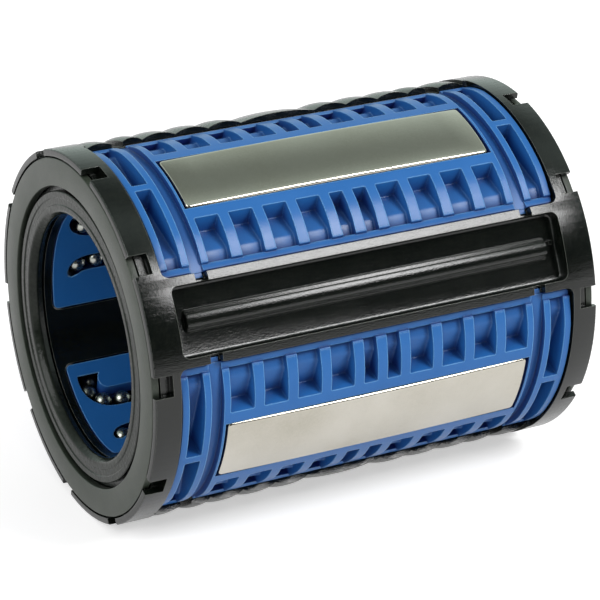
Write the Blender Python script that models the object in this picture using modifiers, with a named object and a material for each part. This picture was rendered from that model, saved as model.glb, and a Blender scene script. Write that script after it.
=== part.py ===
"""Closed linear ball bearing with four self-aligning twin-row segments.

The bearing axis is X and +Z is up. The origin is the middle of the bearing, on its axis.
Lengths are metres. A cross-section is drawn with its first coordinate along Y and its
second along Z, and a segment is drawn with its crown at the top before it is turned round
the axis to its place.
"""

import math

import bmesh
import bpy
from mathutils import Matrix, Vector

# Main sizes, after the standard metric series for a 40 mm shaft
SHAFT_DIAMETER = 0.040
HOUSING_BORE = 0.062
BEARING_LENGTH = 0.080
RETAINING_RING_SETBACK = 0.0097
RETAINING_RING_WIDTH = 0.00215
RETAINING_RING_DEPTH = 0.0015

# Gaps between pieces
RUNNING_GAP = 0.0003
CHANNEL_CLEARANCE = 0.0002
LIP_CLEARANCE = 0.00005
ROCKING_CLEARANCE = 0.00045

# Balls and their closed paths: 3.175 mm balls suit a 40 mm shaft and a section 11 mm high
BALL_SHAFT_RATIO = 3.175 / 40
BALL_SECTION_RATIO = 3.175 / 11
BALL_SPACING_RATIO = 1.072
BALLS_IN_TURN = 3
LOAD_ROW_ANGLE = math.radians(10.41)
BALL_NECK_RATIO = 0.16
ENDMOST_WALL = 0.0014

# Shares of the section height, which is the room between the shaft and the housing
BORE_RELIEF_RATIO = 0.0545
RETURN_RISE_RATIO = 0.264
TONGUE_BASE_RATIO = 0.164
TONGUE_RATIO = 0.127
WASHER_HOLE_RATIO = 0.455
SEAL_HOLE_RATIO = 0.064
SPLIT_RATIO = 0.6
POCKET_FLOOR_RATIO = 0.181

# Segments
SEGMENT_COUNT = 4
SEGMENT_ARC = math.radians(62.4)
FIRST_SEGMENT_ANGLE = math.radians(21.2)
END_RING_LENGTH = 0.0044
CAGE_RECESS = 0.00035
CORNER_RADIUS = 0.0013
PLATE_WIDTH = 0.0115
PLATE_FLARE = 0.0005
PLATE_LAND_RATIO = 0.674
PLATE_CHAMFER = 0.00045
PLATE_CROWN = 0.00028
TONGUE_REACH = 0.0009

# Moulded pockets in the outer cage
POCKET_PITCH = 0.00595
CENTRE_POCKET_WIDTH = 0.0030
POCKET_RIB = 0.0012
GROOVE_RIB = 0.00085
POCKET_PLATE_WALL = 0.0027
POCKET_EDGE_WALL = 0.0008
POCKET_FLOOR_FLAT = 0.0047
SIDE_LIP_DROP = 0.00065
END_POCKET_WALL = 0.0009
END_POCKET_DIVIDER = 0.0013

# Latches on the sides of a segment, in the ring grooves
LATCH_REACH = 0.0008
LATCH_LENGTH = 0.0017
LATCH_HEIGHT = 0.0014
LATCH_DEPTH = 0.0001
LATCH_ROOM = 0.0004

# Sleeve, washers and seals
WEB_LEDGE = 0.0014
TROUGH_DEPTH = 0.0029
TROUGH_END_MARGIN = 0.0005
RIB_HEIGHT = 0.00135
RIB_WIDTH = 0.0022
RIB_FLANK = 0.0007
RIB_END_GAP = 0.0022
LOBE_HEIGHT = 0.0005
LOBE_SINK = 0.00005
LOBE_PITCH = 0.00595
CENTRE_LOBE_WIDTH = 0.0137
WASHER_THICKNESS = 0.0012
RIM_WALL = 0.0011
SEAL_SHOULDER = 0.0013
SEAL_FLANGE_OVERLAP = 0.0006
SEAL_COLLAR_GAP = 0.0009
SEAL_FACE_SETBACK = 0.0004
NOTCH_COUNT = 10
NOTCH_WIDTH = 0.0035
NOTCH_DEPTH = 0.0014
NOTCH_LENGTH = 0.0031
FIRST_NOTCH_ANGLE = math.radians(29.6)

# Facets of the round shapes
TURNING_STEPS = 40
SECTION_STEPS = 7
TRACK_STEPS = 4
PATH_STEPS = 5
LOAD_BALL_SIDES = 5
RETURN_BALL_SIDES = 4
TURN_BALL_SIDES = 4

# Worked out from the sizes above
OUTER_RADIUS = HOUSING_BORE / 2
HALF_LENGTH = BEARING_LENGTH / 2
SHAFT_RADIUS = SHAFT_DIAMETER / 2
SECTION_HEIGHT = OUTER_RADIUS - SHAFT_RADIUS
BORE_RADIUS = SHAFT_RADIUS + BORE_RELIEF_RATIO * SECTION_HEIGHT
BALL_DIAMETER = min(BALL_SHAFT_RATIO * SHAFT_DIAMETER, BALL_SECTION_RATIO * SECTION_HEIGHT)
BALL_RADIUS = BALL_DIAMETER / 2
CHANNEL_HALF_WIDTH = BALL_RADIUS + CHANNEL_CLEARANCE
HALF_ARC = SEGMENT_ARC / 2
SEGMENT_HALF_LENGTH = HALF_LENGTH - END_RING_LENGTH - RUNNING_GAP
GROOVE_OUTER = HALF_LENGTH - RETAINING_RING_SETBACK
GROOVE_INNER = GROOVE_OUTER - RETAINING_RING_WIDTH
GROOVE_FLOOR = OUTER_RADIUS - RETAINING_RING_DEPTH
PLATE_HALF_LENGTH = GROOVE_INNER - GROOVE_RIB
CAGE_RADIUS = OUTER_RADIUS - CAGE_RECESS
LIP_RADIUS = CAGE_RADIUS - SIDE_LIP_DROP
BEYOND = OUTER_RADIUS * 1.1

# Ball path: the load row touches the shaft and the return row lies above it, further out
BALL_PITCH = BALL_SPACING_RATIO * BALL_DIAMETER
TURN_RADIUS = BALLS_IN_TURN * BALL_PITCH / math.pi
LOAD_RADIUS = SHAFT_RADIUS + BALL_RADIUS
LOAD_ROW_OFFSET = LOAD_RADIUS * math.sin(LOAD_ROW_ANGLE)
LOAD_HEIGHT = LOAD_RADIUS * math.cos(LOAD_ROW_ANGLE)
ROW_SPACING = 2 * TURN_RADIUS
RETURN_ROW_RADIUS = LOAD_RADIUS + RETURN_RISE_RATIO * SECTION_HEIGHT
RETURN_ANGLE = LOAD_ROW_ANGLE + math.acos(
    (LOAD_RADIUS**2 + RETURN_ROW_RADIUS**2 - ROW_SPACING**2) / (2 * LOAD_RADIUS * RETURN_ROW_RADIUS)
)
RETURN_OFFSET = RETURN_ROW_RADIUS * math.sin(RETURN_ANGLE)
RETURN_HEIGHT = RETURN_ROW_RADIUS * math.cos(RETURN_ANGLE)
PATH_TILT = math.atan2(RETURN_HEIGHT - LOAD_HEIGHT, RETURN_OFFSET - LOAD_ROW_OFFSET)
LONGEST_ROW = 2 * (SEGMENT_HALF_LENGTH - ENDMOST_WALL - BALL_RADIUS - TURN_RADIUS)
BALLS_IN_ROW = int(LONGEST_ROW / BALL_PITCH)
TURN_CENTRE = BALLS_IN_ROW * BALL_PITCH / 2
TRACK_LAND_RISE = PLATE_LAND_RATIO * BALL_RADIUS
PLATE_UNDERSIDE = LOAD_HEIGHT + TRACK_LAND_RISE
CENTRE_BAR_TOP = PLATE_UNDERSIDE - RUNNING_GAP

# Places that keep their share of the section between the shaft and the housing
TONGUE_LOW = BORE_RADIUS + TONGUE_BASE_RATIO * SECTION_HEIGHT
TONGUE_HIGH = TONGUE_LOW + TONGUE_RATIO * SECTION_HEIGHT
WASHER_HOLE_RADIUS = SHAFT_RADIUS + WASHER_HOLE_RATIO * SECTION_HEIGHT
SEAL_COLLAR_RADIUS = WASHER_HOLE_RADIUS - SEAL_COLLAR_GAP
SEAL_FLANGE_RADIUS = WASHER_HOLE_RADIUS + SEAL_FLANGE_OVERLAP
SEAL_HOLE_RADIUS = SHAFT_RADIUS + SEAL_HOLE_RATIO * SECTION_HEIGHT
POCKET_START = PLATE_WIDTH / 2 + POCKET_PLATE_WALL
CHANNEL_TOP = RETURN_HEIGHT + (RETURN_OFFSET - LOAD_ROW_OFFSET) * math.tan(PATH_TILT) / 2 + CHANNEL_HALF_WIDTH
POCKET_FLOOR_HEIGHT = CHANNEL_TOP + POCKET_FLOOR_RATIO * SECTION_HEIGHT
SPLIT_RADIUS = SHAFT_RADIUS + SPLIT_RATIO * SECTION_HEIGHT
POCKET_OUTER = LIP_RADIUS * math.sin(HALF_ARC) - POCKET_EDGE_WALL
LIP_HEIGHT = math.sqrt(LIP_RADIUS**2 - POCKET_OUTER**2)


def clear_scene():
    for old in list(bpy.data.objects):
        bpy.data.objects.remove(old, do_unlink=True)


def new_collection(name):
    made = bpy.data.collections.new(name)
    bpy.context.scene.collection.children.link(made)
    return made


def new_material(name, colour, roughness, metallic=0.0):
    material = bpy.data.materials.new(name)
    material.use_nodes = True
    shader = material.node_tree.nodes["Principled BSDF"]
    shader.inputs["Base Color"].default_value = (*colour, 1.0)
    shader.inputs["Roughness"].default_value = roughness
    shader.inputs["Metallic"].default_value = metallic
    return material


def polar(radius, angle):
    """Cross-section point at this radius, with the angle measured from +Z towards +Y."""
    return (radius * math.sin(angle), radius * math.cos(angle))


def arc(radius, start, end, steps):
    return [polar(radius, start + (end - start) * i / steps) for i in range(steps + 1)]


def side_point(radius, outward=0.0):
    """Point on the segment's side plane at this radius, moved square off the plane."""
    across, up = polar(radius, HALF_ARC)
    return (across + outward * math.cos(HALF_ARC), up - outward * math.sin(HALF_ARC))


def mirrored(points):
    """The points, which lie at +Y, then their mirror images in reverse order."""
    return points + [(-across, up) for across, up in reversed(points)]


def both_sides(outline):
    """The outline at +Y and its mirror image at -Y, as two outlines."""
    return [outline, [(-across, up) for across, up in reversed(outline)]]


def path_line(across, raised=0.0):
    """Height over the cross-section of the plane through both ball rows of one side."""
    return LOAD_HEIGHT + (across - LOAD_ROW_OFFSET) * math.tan(PATH_TILT) + raised


def split_line(raised):
    """Where the outer cage meets the retainer, from the side of the segment to its load row."""
    elbow = RETURN_OFFSET + 1.25 * CHANNEL_HALF_WIDTH
    return [
        side_point(SPLIT_RADIUS + raised),
        (elbow, path_line(elbow, raised)),
        (LOAD_ROW_OFFSET, LOAD_HEIGHT + raised),
    ]


def shaped(name, mesh, collection, material=None):
    part = bpy.data.objects.new(name, mesh)
    collection.objects.link(part)
    if material is not None:
        mesh.materials.clear()
        mesh.materials.append(material)
    return part


def prism(outlines, x_start, x_end):
    """Mesh of a flat outline, carried along X. Outlines after the first are holes in it."""
    curve = bpy.data.curves.new("outline", "CURVE")
    curve.dimensions = "2D"
    curve.fill_mode = "BOTH"
    curve.extrude = (x_end - x_start) / 2
    for outline in outlines:
        spline = curve.splines.new("POLY")
        spline.points.add(len(outline) - 1)
        for point, (across, up) in zip(spline.points, outline):
            point.co = (across, up, 0.0, 1.0)
        spline.use_cyclic_u = True
    guide = bpy.data.objects.new("outline", curve)
    bpy.context.scene.collection.objects.link(guide)
    evaluated = guide.evaluated_get(bpy.context.evaluated_depsgraph_get())
    mesh = bpy.data.meshes.new_from_object(evaluated)
    bpy.data.objects.remove(guide, do_unlink=True)
    bpy.data.curves.remove(curve)
    stand_up = Matrix(((0, 0, 1, (x_start + x_end) / 2), (1, 0, 0, 0), (0, 1, 0, 0), (0, 0, 0, 1)))
    work = bmesh.new()
    work.from_mesh(mesh)
    bmesh.ops.remove_doubles(work, verts=work.verts, dist=1e-6)
    bmesh.ops.transform(work, matrix=stand_up, verts=work.verts)
    bmesh.ops.recalc_face_normals(work, faces=work.faces)
    bmesh.ops.dissolve_limit(work, angle_limit=math.radians(0.5), verts=work.verts, edges=work.edges)
    work.to_mesh(mesh)
    work.free()
    return mesh


def box(work, x_range, y_range, z_range, turn=0.0):
    """Adds a box to the bmesh, turned round the bearing axis."""
    size = Vector((x_range[1] - x_range[0], y_range[1] - y_range[0], z_range[1] - z_range[0]))
    middle = Vector((sum(x_range) / 2, sum(y_range) / 2, sum(z_range) / 2))
    place = Matrix.Rotation(turn, 4, "X") @ Matrix.Translation(middle) @ Matrix.Diagonal((*size, 1.0))
    bmesh.ops.create_cube(work, size=1.0, matrix=place)


def to_mesh(work, name):
    mesh = bpy.data.meshes.new(name)
    work.to_mesh(mesh)
    work.free()
    return mesh


def joined(meshes, turns):
    """One mesh of these meshes, each turned round the bearing axis by its angle."""
    work = bmesh.new()
    for mesh, turn in zip(meshes, turns):
        before = set(work.verts)
        work.from_mesh(mesh)
        added = [vert for vert in work.verts if vert not in before]
        bmesh.ops.transform(work, matrix=Matrix.Rotation(turn, 4, "X"), verts=added)
    return to_mesh(work, "joined")


def turned(name, profile, steps, collection, material=None, phase=0.0):
    """A profile of (radius, x) points, outer side first from +X to -X, turned round the axis."""
    work = bmesh.new()
    verts = [work.verts.new((radius, 0.0, along)) for radius, along in profile]
    for first, second in zip(verts, verts[1:] + verts[:1]):
        work.edges.new((first, second))
    part = shaped(name, to_mesh(work, name), collection, material)
    part.rotation_euler = (Matrix.Rotation(phase, 3, "X") @ Matrix.Rotation(math.pi / 2, 3, "Y")).to_euler()
    screw = part.modifiers.new("Turn", "SCREW")
    screw.steps = steps
    screw.render_steps = steps
    screw.use_merge_vertices = True
    screw.merge_threshold = 0.00001
    return part


def cut(part, cutter, operation="DIFFERENCE"):
    modifier = part.modifiers.new(cutter.name, "BOOLEAN")
    modifier.operation = operation
    modifier.solver = "EXACT"
    modifier.object = cutter
    cutter.hide_render = True
    cutter.display_type = "WIRE"


def finished_mesh(part, name):
    """The part's mesh with its modifiers applied, and the part itself taken away."""
    evaluated = part.evaluated_get(bpy.context.evaluated_depsgraph_get())
    mesh = bpy.data.meshes.new_from_object(evaluated)
    mesh.name = name
    bpy.data.objects.remove(part, do_unlink=True)
    return mesh


def shade(mesh, sharp=math.radians(30)):
    mesh.shade_smooth()
    mesh.set_sharp_from_angle(angle=sharp)


def round_corners(mesh, half_length, radius):
    """Rounds the four corners of a segment that stand square to the cylinder."""
    work = bmesh.new()
    work.from_mesh(mesh)
    corners = []
    for edge in work.edges:
        first, second = (vert.co for vert in edge.verts)
        at_end = min(abs(first.x), abs(second.x)) > half_length - 1e-6
        same_end = first.x * second.x > 0
        same_side = first.y * second.y > 0
        rise = abs(first.yz.length - second.yz.length)
        radial = rise > 0.9 * (first - second).length
        if at_end and same_end and same_side and radial:
            corners.append(edge)
    bmesh.ops.bevel(
        work,
        geom=corners,
        offset=radius,
        offset_type="OFFSET",
        segments=2,
        profile=0.5,
        affect="EDGES",
        material=-1,
    )
    work.to_mesh(mesh)
    work.free()


def path_matrix(side):
    """From the ball path's own plane to the segment: X along the bearing, Y from load to return."""
    across = Vector((0.0, side * math.cos(PATH_TILT), math.sin(PATH_TILT)))
    along = Vector((1.0, 0.0, 0.0))
    normal = along.cross(across)
    middle = Vector((0.0, side * (LOAD_ROW_OFFSET + RETURN_OFFSET) / 2, (LOAD_HEIGHT + RETURN_HEIGHT) / 2))
    place = Matrix((along, across, normal)).transposed().to_4x4()
    place.translation = middle
    return place


def channel_mesh(side, top, bottom):
    """Closed ring swept round the ball path, from the bottom to the top height over its plane."""
    half = CHANNEL_HALF_WIDTH
    corner = half * math.tan(math.pi / 8)
    if abs(bottom) < abs(top):
        profile = [(half, top), (half, -corner), (corner, -half), (-corner, -half), (-half, -corner), (-half, top)]
    else:
        profile = [(half, bottom), (half, corner), (corner, half), (-corner, half), (-half, corner), (-half, bottom)]
    work = bmesh.new()
    start = [work.verts.new((-TURN_CENTRE, -TURN_RADIUS + across, up)) for across, up in profile]
    ring = [work.edges.new((start[i], start[(i + 1) % len(start)])) for i in range(len(start))]
    for end in (1, -1):
        run = bmesh.ops.extrude_edge_only(work, edges=ring)["geom"]
        moved = [item for item in run if isinstance(item, bmesh.types.BMVert)]
        bmesh.ops.translate(work, vec=(end * 2 * TURN_CENTRE, 0.0, 0.0), verts=moved)
        ring = [item for item in run if isinstance(item, bmesh.types.BMEdge)]
        ring = [edge for edge in ring if all(vert in moved for vert in edge.verts)]
        spun = bmesh.ops.spin(
            work,
            geom=ring,
            cent=(end * TURN_CENTRE, 0.0, 0.0),
            axis=(0.0, 0.0, 1.0),
            angle=math.pi,
            steps=PATH_STEPS,
            use_duplicate=False,
        )
        ring = [item for item in spun["geom_last"] if isinstance(item, bmesh.types.BMEdge)]
    bmesh.ops.remove_doubles(work, verts=work.verts, dist=1e-6)
    bmesh.ops.transform(work, matrix=path_matrix(side), verts=work.verts)
    bmesh.ops.recalc_face_normals(work, faces=work.faces)
    return to_mesh(work, "channel")


def ring_cutter(name, inner, x_start, x_end, collection):
    """A tall turned ring that cuts a groove down to the inner radius."""
    profile = [(BEYOND, x_end), (BEYOND, x_start), (inner, x_start), (inner, x_end)]
    return turned(name, profile, TURNING_STEPS, collection)


def pocket_ranges():
    """X ranges of the row of pockets, wide ones to each side of two narrow ones."""
    room = PLATE_HALF_LENGTH - 1.5 * POCKET_RIB - CENTRE_POCKET_WIDTH
    count = max(1, round(room / POCKET_PITCH))
    pitch = (room + POCKET_RIB) / count
    start = POCKET_RIB / 2
    ranges = [(start, start + CENTRE_POCKET_WIDTH)]
    start += CENTRE_POCKET_WIDTH + POCKET_RIB
    for number in range(count):
        ranges.append((start + number * pitch, start + (number + 1) * pitch - POCKET_RIB))
    return ranges + [(-high, -low) for low, high in ranges]


def pocket_outline(inner):
    """Section of a pocket: flat over the return row, then rounding down to the side lip."""
    flat_end = POCKET_START + POCKET_FLOOR_FLAT
    floor_end = (POCKET_FLOOR_HEIGHT + LIP_HEIGHT) / 2
    middle = (flat_end + POCKET_OUTER) / 2
    return [
        (inner, BEYOND),
        (inner, POCKET_FLOOR_HEIGHT),
        (flat_end, POCKET_FLOOR_HEIGHT),
        (middle, (3 * POCKET_FLOOR_HEIGHT + floor_end) / 4),
        (POCKET_OUTER, floor_end),
        (POCKET_OUTER + POCKET_EDGE_WALL / 2, floor_end),
        (POCKET_OUTER + POCKET_EDGE_WALL / 2, BEYOND),
    ]


def pocket_cutter(collection):
    meshes = [prism(both_sides(pocket_outline(POCKET_START)), low, high) for low, high in pocket_ranges()]
    for end in (1, -1):
        low = GROOVE_OUTER + GROOVE_RIB
        high = SEGMENT_HALF_LENGTH - END_POCKET_WALL
        meshes.append(prism(both_sides(pocket_outline(END_POCKET_DIVIDER / 2)), *sorted((end * low, end * high))))
    return shaped("pocket_cutter", joined(meshes, [0.0] * len(meshes)), collection)


def outer_cage_mesh(cutters):
    underside = split_line(RUNNING_GAP)
    shoulder = math.asin(POCKET_OUTER / CAGE_RADIUS)
    lip = [(POCKET_OUTER, LIP_HEIGHT), side_point(LIP_RADIUS)]
    top = arc(CAGE_RADIUS, -shoulder, shoulder, SECTION_STEPS)
    top = [(-y, z) for y, z in reversed(lip)] + top + lip
    outline = top + underside + [(0.0, PLATE_UNDERSIDE)] + [(-y, z) for y, z in reversed(underside)]
    mesh = prism([outline], -SEGMENT_HALF_LENGTH, SEGMENT_HALF_LENGTH)
    round_corners(mesh, SEGMENT_HALF_LENGTH, CORNER_RADIUS)
    cage = shaped("cage", mesh, cutters)

    foot = PLATE_WIDTH / 2 + PLATE_FLARE + RUNNING_GAP
    head = PLATE_WIDTH / 2 + RUNNING_GAP
    lean = (foot - head) / (OUTER_RADIUS - PLATE_UNDERSIDE)
    window = mirrored([
        (head - lean * (BEYOND - OUTER_RADIUS), BEYOND),
        (foot + lean * (PLATE_UNDERSIDE - BORE_RADIUS), BORE_RADIUS),
    ])
    reach = GROOVE_INNER + GROOVE_RIB / 4
    cut(cage, shaped("window_cutter", prism([window], -reach, reach), cutters))
    cut(cage, pocket_cutter(cutters))
    for end in (1, -1):
        along = sorted((end * GROOVE_INNER, end * GROOVE_OUTER))
        cut(cage, ring_cutter(f"cage_groove_cutter_{end}", GROOVE_FLOOR, *along, cutters))
    cut(cage, shaped("latches", latch_mesh(0.0), cutters), "UNION")
    for side in (1, -1):
        channel = channel_mesh(side, CHANNEL_HALF_WIDTH, -2 * BALL_RADIUS)
        cut(cage, shaped(f"cage_channel_cutter_{side}", channel, cutters))
    return finished_mesh(cage, "outer_cage")


def tongue_mesh(clearance):
    """The two tongues along the sides of a segment, grown by the clearance all round."""
    low = TONGUE_LOW - clearance
    high = TONGUE_HIGH + clearance
    root = -TONGUE_REACH / 2
    tip = TONGUE_REACH + (RUNNING_GAP if clearance else 0.0)
    right = [side_point(low, root), side_point(low, tip), side_point(high, tip), side_point(high, root)]
    reach = SEGMENT_HALF_LENGTH - 2 * CORNER_RADIUS + (RUNNING_GAP if clearance else 0.0)
    return prism(both_sides(right), -reach, reach)


def latch_mesh(room):
    """The four latches of a segment, one at each side in each ring groove, with room all round."""
    high = GROOVE_FLOOR - LATCH_DEPTH + (LATCH_REACH if room else 0.0)
    low = GROOVE_FLOOR - LATCH_DEPTH - LATCH_HEIGHT - room
    root = -LATCH_REACH
    tip = LATCH_REACH + (RUNNING_GAP if room else 0.0)
    right = [side_point(low, root), side_point(low, tip), side_point(high, tip), side_point(high, root)]
    middle = (GROOVE_INNER + GROOVE_OUTER) / 2
    reach = LATCH_LENGTH / 2 + (RUNNING_GAP / 2 if room else 0.0)
    meshes = [prism(both_sides(right), end * middle - reach, end * middle + reach) for end in (1, -1)]
    return joined(meshes, [0.0, 0.0])


def retainer_mesh(cutters):
    side = split_line(0.0)
    inner = arc(BORE_RADIUS, -HALF_ARC, HALF_ARC, SECTION_STEPS)
    outline = inner + side + [(0.0, CENTRE_BAR_TOP)] + [(-y, z) for y, z in reversed(side)]
    mesh = prism([outline], -SEGMENT_HALF_LENGTH, SEGMENT_HALF_LENGTH)
    round_corners(mesh, SEGMENT_HALF_LENGTH, CORNER_RADIUS)
    retainer = shaped("retainer", mesh, cutters)
    cut(retainer, shaped("tongues", tongue_mesh(0.0), cutters), "UNION")
    for hand in (1, -1):
        channel = channel_mesh(hand, 2 * BALL_RADIUS, -CHANNEL_HALF_WIDTH)
        cut(retainer, shaped(f"channel_cutter_{hand}", channel, cutters))
    return finished_mesh(retainer, "ball_retainer")


def load_plate_mesh():
    """Hardened plate: crowned on top so that it can rock, with two ball tracks underneath."""
    track = CHANNEL_HALF_WIDTH / math.cos(math.pi / 8)
    opening = math.acos(TRACK_LAND_RISE / track)
    foot = PLATE_WIDTH / 2 + PLATE_FLARE
    half_angle = math.asin(PLATE_WIDTH / 2 / OUTER_RADIUS)
    shoulder = OUTER_RADIUS * math.cos(half_angle)
    groove = [
        (LOAD_ROW_OFFSET + across, LOAD_HEIGHT + up)
        for across, up in arc(track, opening, -opening, TRACK_STEPS)
    ]
    edge = (PLATE_WIDTH / 2 - PLATE_CHAMFER) / OUTER_RADIUS
    right = groove[::-1] + [
        (foot, PLATE_UNDERSIDE),
        (PLATE_WIDTH / 2, shoulder - PLATE_CHAMFER),
    ]
    top = arc(OUTER_RADIUS, edge, -edge, TRACK_STEPS)
    outline = right + top + [(-y, z) for y, z in reversed(right)]
    mesh = prism([outline], -PLATE_HALF_LENGTH, PLATE_HALF_LENGTH)
    work = bmesh.new()
    work.from_mesh(mesh)
    for station in (0.0, 0.5, -0.5):
        plane = (station * PLATE_HALF_LENGTH, 0.0, 0.0)
        everything = work.verts[:] + work.edges[:] + work.faces[:]
        bmesh.ops.bisect_plane(work, geom=everything, plane_co=plane, plane_no=(1.0, 0.0, 0.0), dist=1e-7)
    for vert in work.verts:
        if vert.co.z > shoulder - PLATE_CHAMFER / 2:
            vert.co.z -= PLATE_CROWN * (vert.co.x / PLATE_HALF_LENGTH) ** 2
    work.to_mesh(mesh)
    work.free()
    mesh.name = "load_plate"
    return mesh


def bead_rings(centres, tangents, sides, stations):
    """Places of the rings of a string of balls: (centre, direction along the string, radius)."""
    neck = BALL_NECK_RATIO * BALL_RADIUS
    rings = [(centres[0] - tangents[0] * BALL_RADIUS, tangents[0], neck)]
    for number, (centre, tangent) in enumerate(zip(centres, tangents)):
        for along, radius in stations:
            rings.append((centre + tangent * along, tangent, radius))
        if number + 1 < len(centres):
            following = centres[number + 1]
            rings.append(((centre + following) / 2, (following - centre).normalized(), neck))
    rings.append((centres[-1] + tangents[-1] * BALL_RADIUS, tangents[-1], neck))
    return rings


def bead_string_mesh(name, centres, tangents, sides, stations):
    """Balls in a row, each joined to the next by a small neck where they touch."""
    up = Vector((0.0, 0.0, 1.0))
    work = bmesh.new()
    previous = None
    for centre, along, radius in bead_rings(centres, tangents, sides, stations):
        across = up.cross(along)
        place = Matrix((across, up, across.cross(up))).transposed().to_4x4()
        place.translation = centre
        made = bmesh.ops.create_circle(work, segments=sides, radius=radius, matrix=place)["verts"]
        loop = [edge for edge in {edge for vert in made for edge in vert.link_edges}]
        if previous is None:
            bmesh.ops.contextual_create(work, geom=loop)
        else:
            bmesh.ops.bridge_loops(work, edges=previous + loop)
        previous = loop
    bmesh.ops.contextual_create(work, geom=previous)
    bmesh.ops.recalc_face_normals(work, faces=work.faces)
    return to_mesh(work, name)


def row_mesh(name, sides, stations):
    start = -(BALLS_IN_ROW - 1) / 2 * BALL_PITCH
    centres = [Vector((start + number * BALL_PITCH, 0.0, 0.0)) for number in range(BALLS_IN_ROW)]
    tangents = [Vector((1.0, 0.0, 0.0))] * BALLS_IN_ROW
    return bead_string_mesh(name, centres, tangents, sides, stations)


def turn_mesh(name, end, sides, stations):
    """Balls round one end of the path, drawn about the turn's centre in the path's plane."""
    centres = []
    tangents = []
    for number in range(BALLS_IN_TURN):
        angle = (number + 0.5) * math.pi / BALLS_IN_TURN
        centres.append(Vector((end * math.sin(angle), -math.cos(angle), 0.0)) * TURN_RADIUS)
        tangents.append(Vector((end * math.cos(angle), math.sin(angle), 0.0)))
    return bead_string_mesh(name, centres, tangents, sides, stations)


def window_mesh():
    """Opening in the sleeve for one segment."""
    reach = SEGMENT_HALF_LENGTH + RUNNING_GAP
    top = BEYOND / math.cos(HALF_ARC)
    right = [side_point(BORE_RADIUS * 0.9, RUNNING_GAP), side_point(top, RUNNING_GAP)]
    mesh = prism([mirrored(right)], -reach, reach)
    round_corners(mesh, reach, CORNER_RADIUS)
    return mesh


def web_half_width():
    """Half the width of a web at the outside, between its two windows."""
    web_angle = math.pi / SEGMENT_COUNT - HALF_ARC
    return OUTER_RADIUS * math.sin(web_angle) - RUNNING_GAP


def trough_outline():
    """Section of the long recess in a web, with the rib that runs along its middle."""
    floor = OUTER_RADIUS - TROUGH_DEPTH
    wall = web_half_width() - WEB_LEDGE
    right = [
        (RIB_WIDTH / 2, floor + RIB_HEIGHT),
        (RIB_WIDTH / 2 + RIB_FLANK, floor),
        (wall - RIB_FLANK, floor),
        (wall, floor + RIB_FLANK),
        (wall, BEYOND),
    ]
    return mirrored(right)


def trough_mesh(reach):
    """Cutter for the recess of a web. Its rib slopes down to the floor before both ends."""
    mesh = prism([trough_outline()], -reach, reach)
    rib_end = reach - RIB_END_GAP
    crest = OUTER_RADIUS - TROUGH_DEPTH + RIB_HEIGHT
    work = bmesh.new()
    work.from_mesh(mesh)
    for station in (rib_end, rib_end - RIB_HEIGHT / 2):
        for end in (1, -1):
            everything = work.verts[:] + work.edges[:] + work.faces[:]
            plane = (end * station, 0.0, 0.0)
            bmesh.ops.bisect_plane(work, geom=everything, plane_co=plane, plane_no=(1.0, 0.0, 0.0), dist=1e-7)
    for vert in work.verts:
        on_crest = abs(vert.co.z - crest) < 1e-6 and abs(vert.co.y) < RIB_WIDTH
        if on_crest and abs(vert.co.x) > rib_end - 1e-6:
            vert.co.z -= RIB_HEIGHT
    work.to_mesh(mesh)
    work.free()
    return mesh


def lobe_cutter(web_turns, collection):
    """Takes webs down to a row of low lobes: a ring, lobed inside, kept over those webs only."""
    edges = [CENTRE_LOBE_WIDTH / 2]
    while edges[-1] + LOBE_PITCH < PLATE_HALF_LENGTH + POCKET_RIB:
        edges.append(edges[-1] + LOBE_PITCH)
    edges = [-along for along in reversed(edges)] + edges
    lobed = []
    for start, end in zip(edges, edges[1:]):
        for step in range(TRACK_STEPS):
            share = step / TRACK_STEPS
            rise = LOBE_HEIGHT * (1 - (2 * share - 1) ** 2)
            lobed.append((OUTER_RADIUS - LOBE_SINK - LOBE_HEIGHT + rise, start + share * (end - start)))
    lobed.append((OUTER_RADIUS - LOBE_SINK - LOBE_HEIGHT, edges[-1]))
    profile = [(BEYOND, edges[-1]), (BEYOND, edges[0])] + lobed
    ring = turned("lobe_cutter", profile, TURNING_STEPS, collection)
    half = web_half_width() - WEB_LEDGE
    work = bmesh.new()
    for turn in web_turns:
        box(work, (edges[0] * 2, edges[-1] * 2), (-half, half), (0.5 * OUTER_RADIUS, 2 * BEYOND), turn)
    cut(ring, shaped("lobe_sectors", to_mesh(work, "lobe_sectors"), collection), "INTERSECT")
    return ring


def notch_cutter(collection):
    work = bmesh.new()
    low = OUTER_RADIUS - NOTCH_DEPTH
    for number in range(NOTCH_COUNT):
        angle = FIRST_NOTCH_ANGLE + number * 2 * math.pi / NOTCH_COUNT - math.pi / 2
        for end in (1, -1):
            along = sorted((end * (HALF_LENGTH - NOTCH_LENGTH), end * BEYOND * 2))
            box(work, along, (-NOTCH_WIDTH / 2, NOTCH_WIDTH / 2), (low, BEYOND), angle)
    return shaped("notch_cutter", to_mesh(work, "notches"), collection)


def segment_turns():
    """Angles that turn a segment from the top of the bearing to each of its places."""
    return [
        FIRST_SEGMENT_ANGLE - math.pi / 2 + number * 2 * math.pi / SEGMENT_COUNT
        for number in range(SEGMENT_COUNT)
    ]


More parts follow.
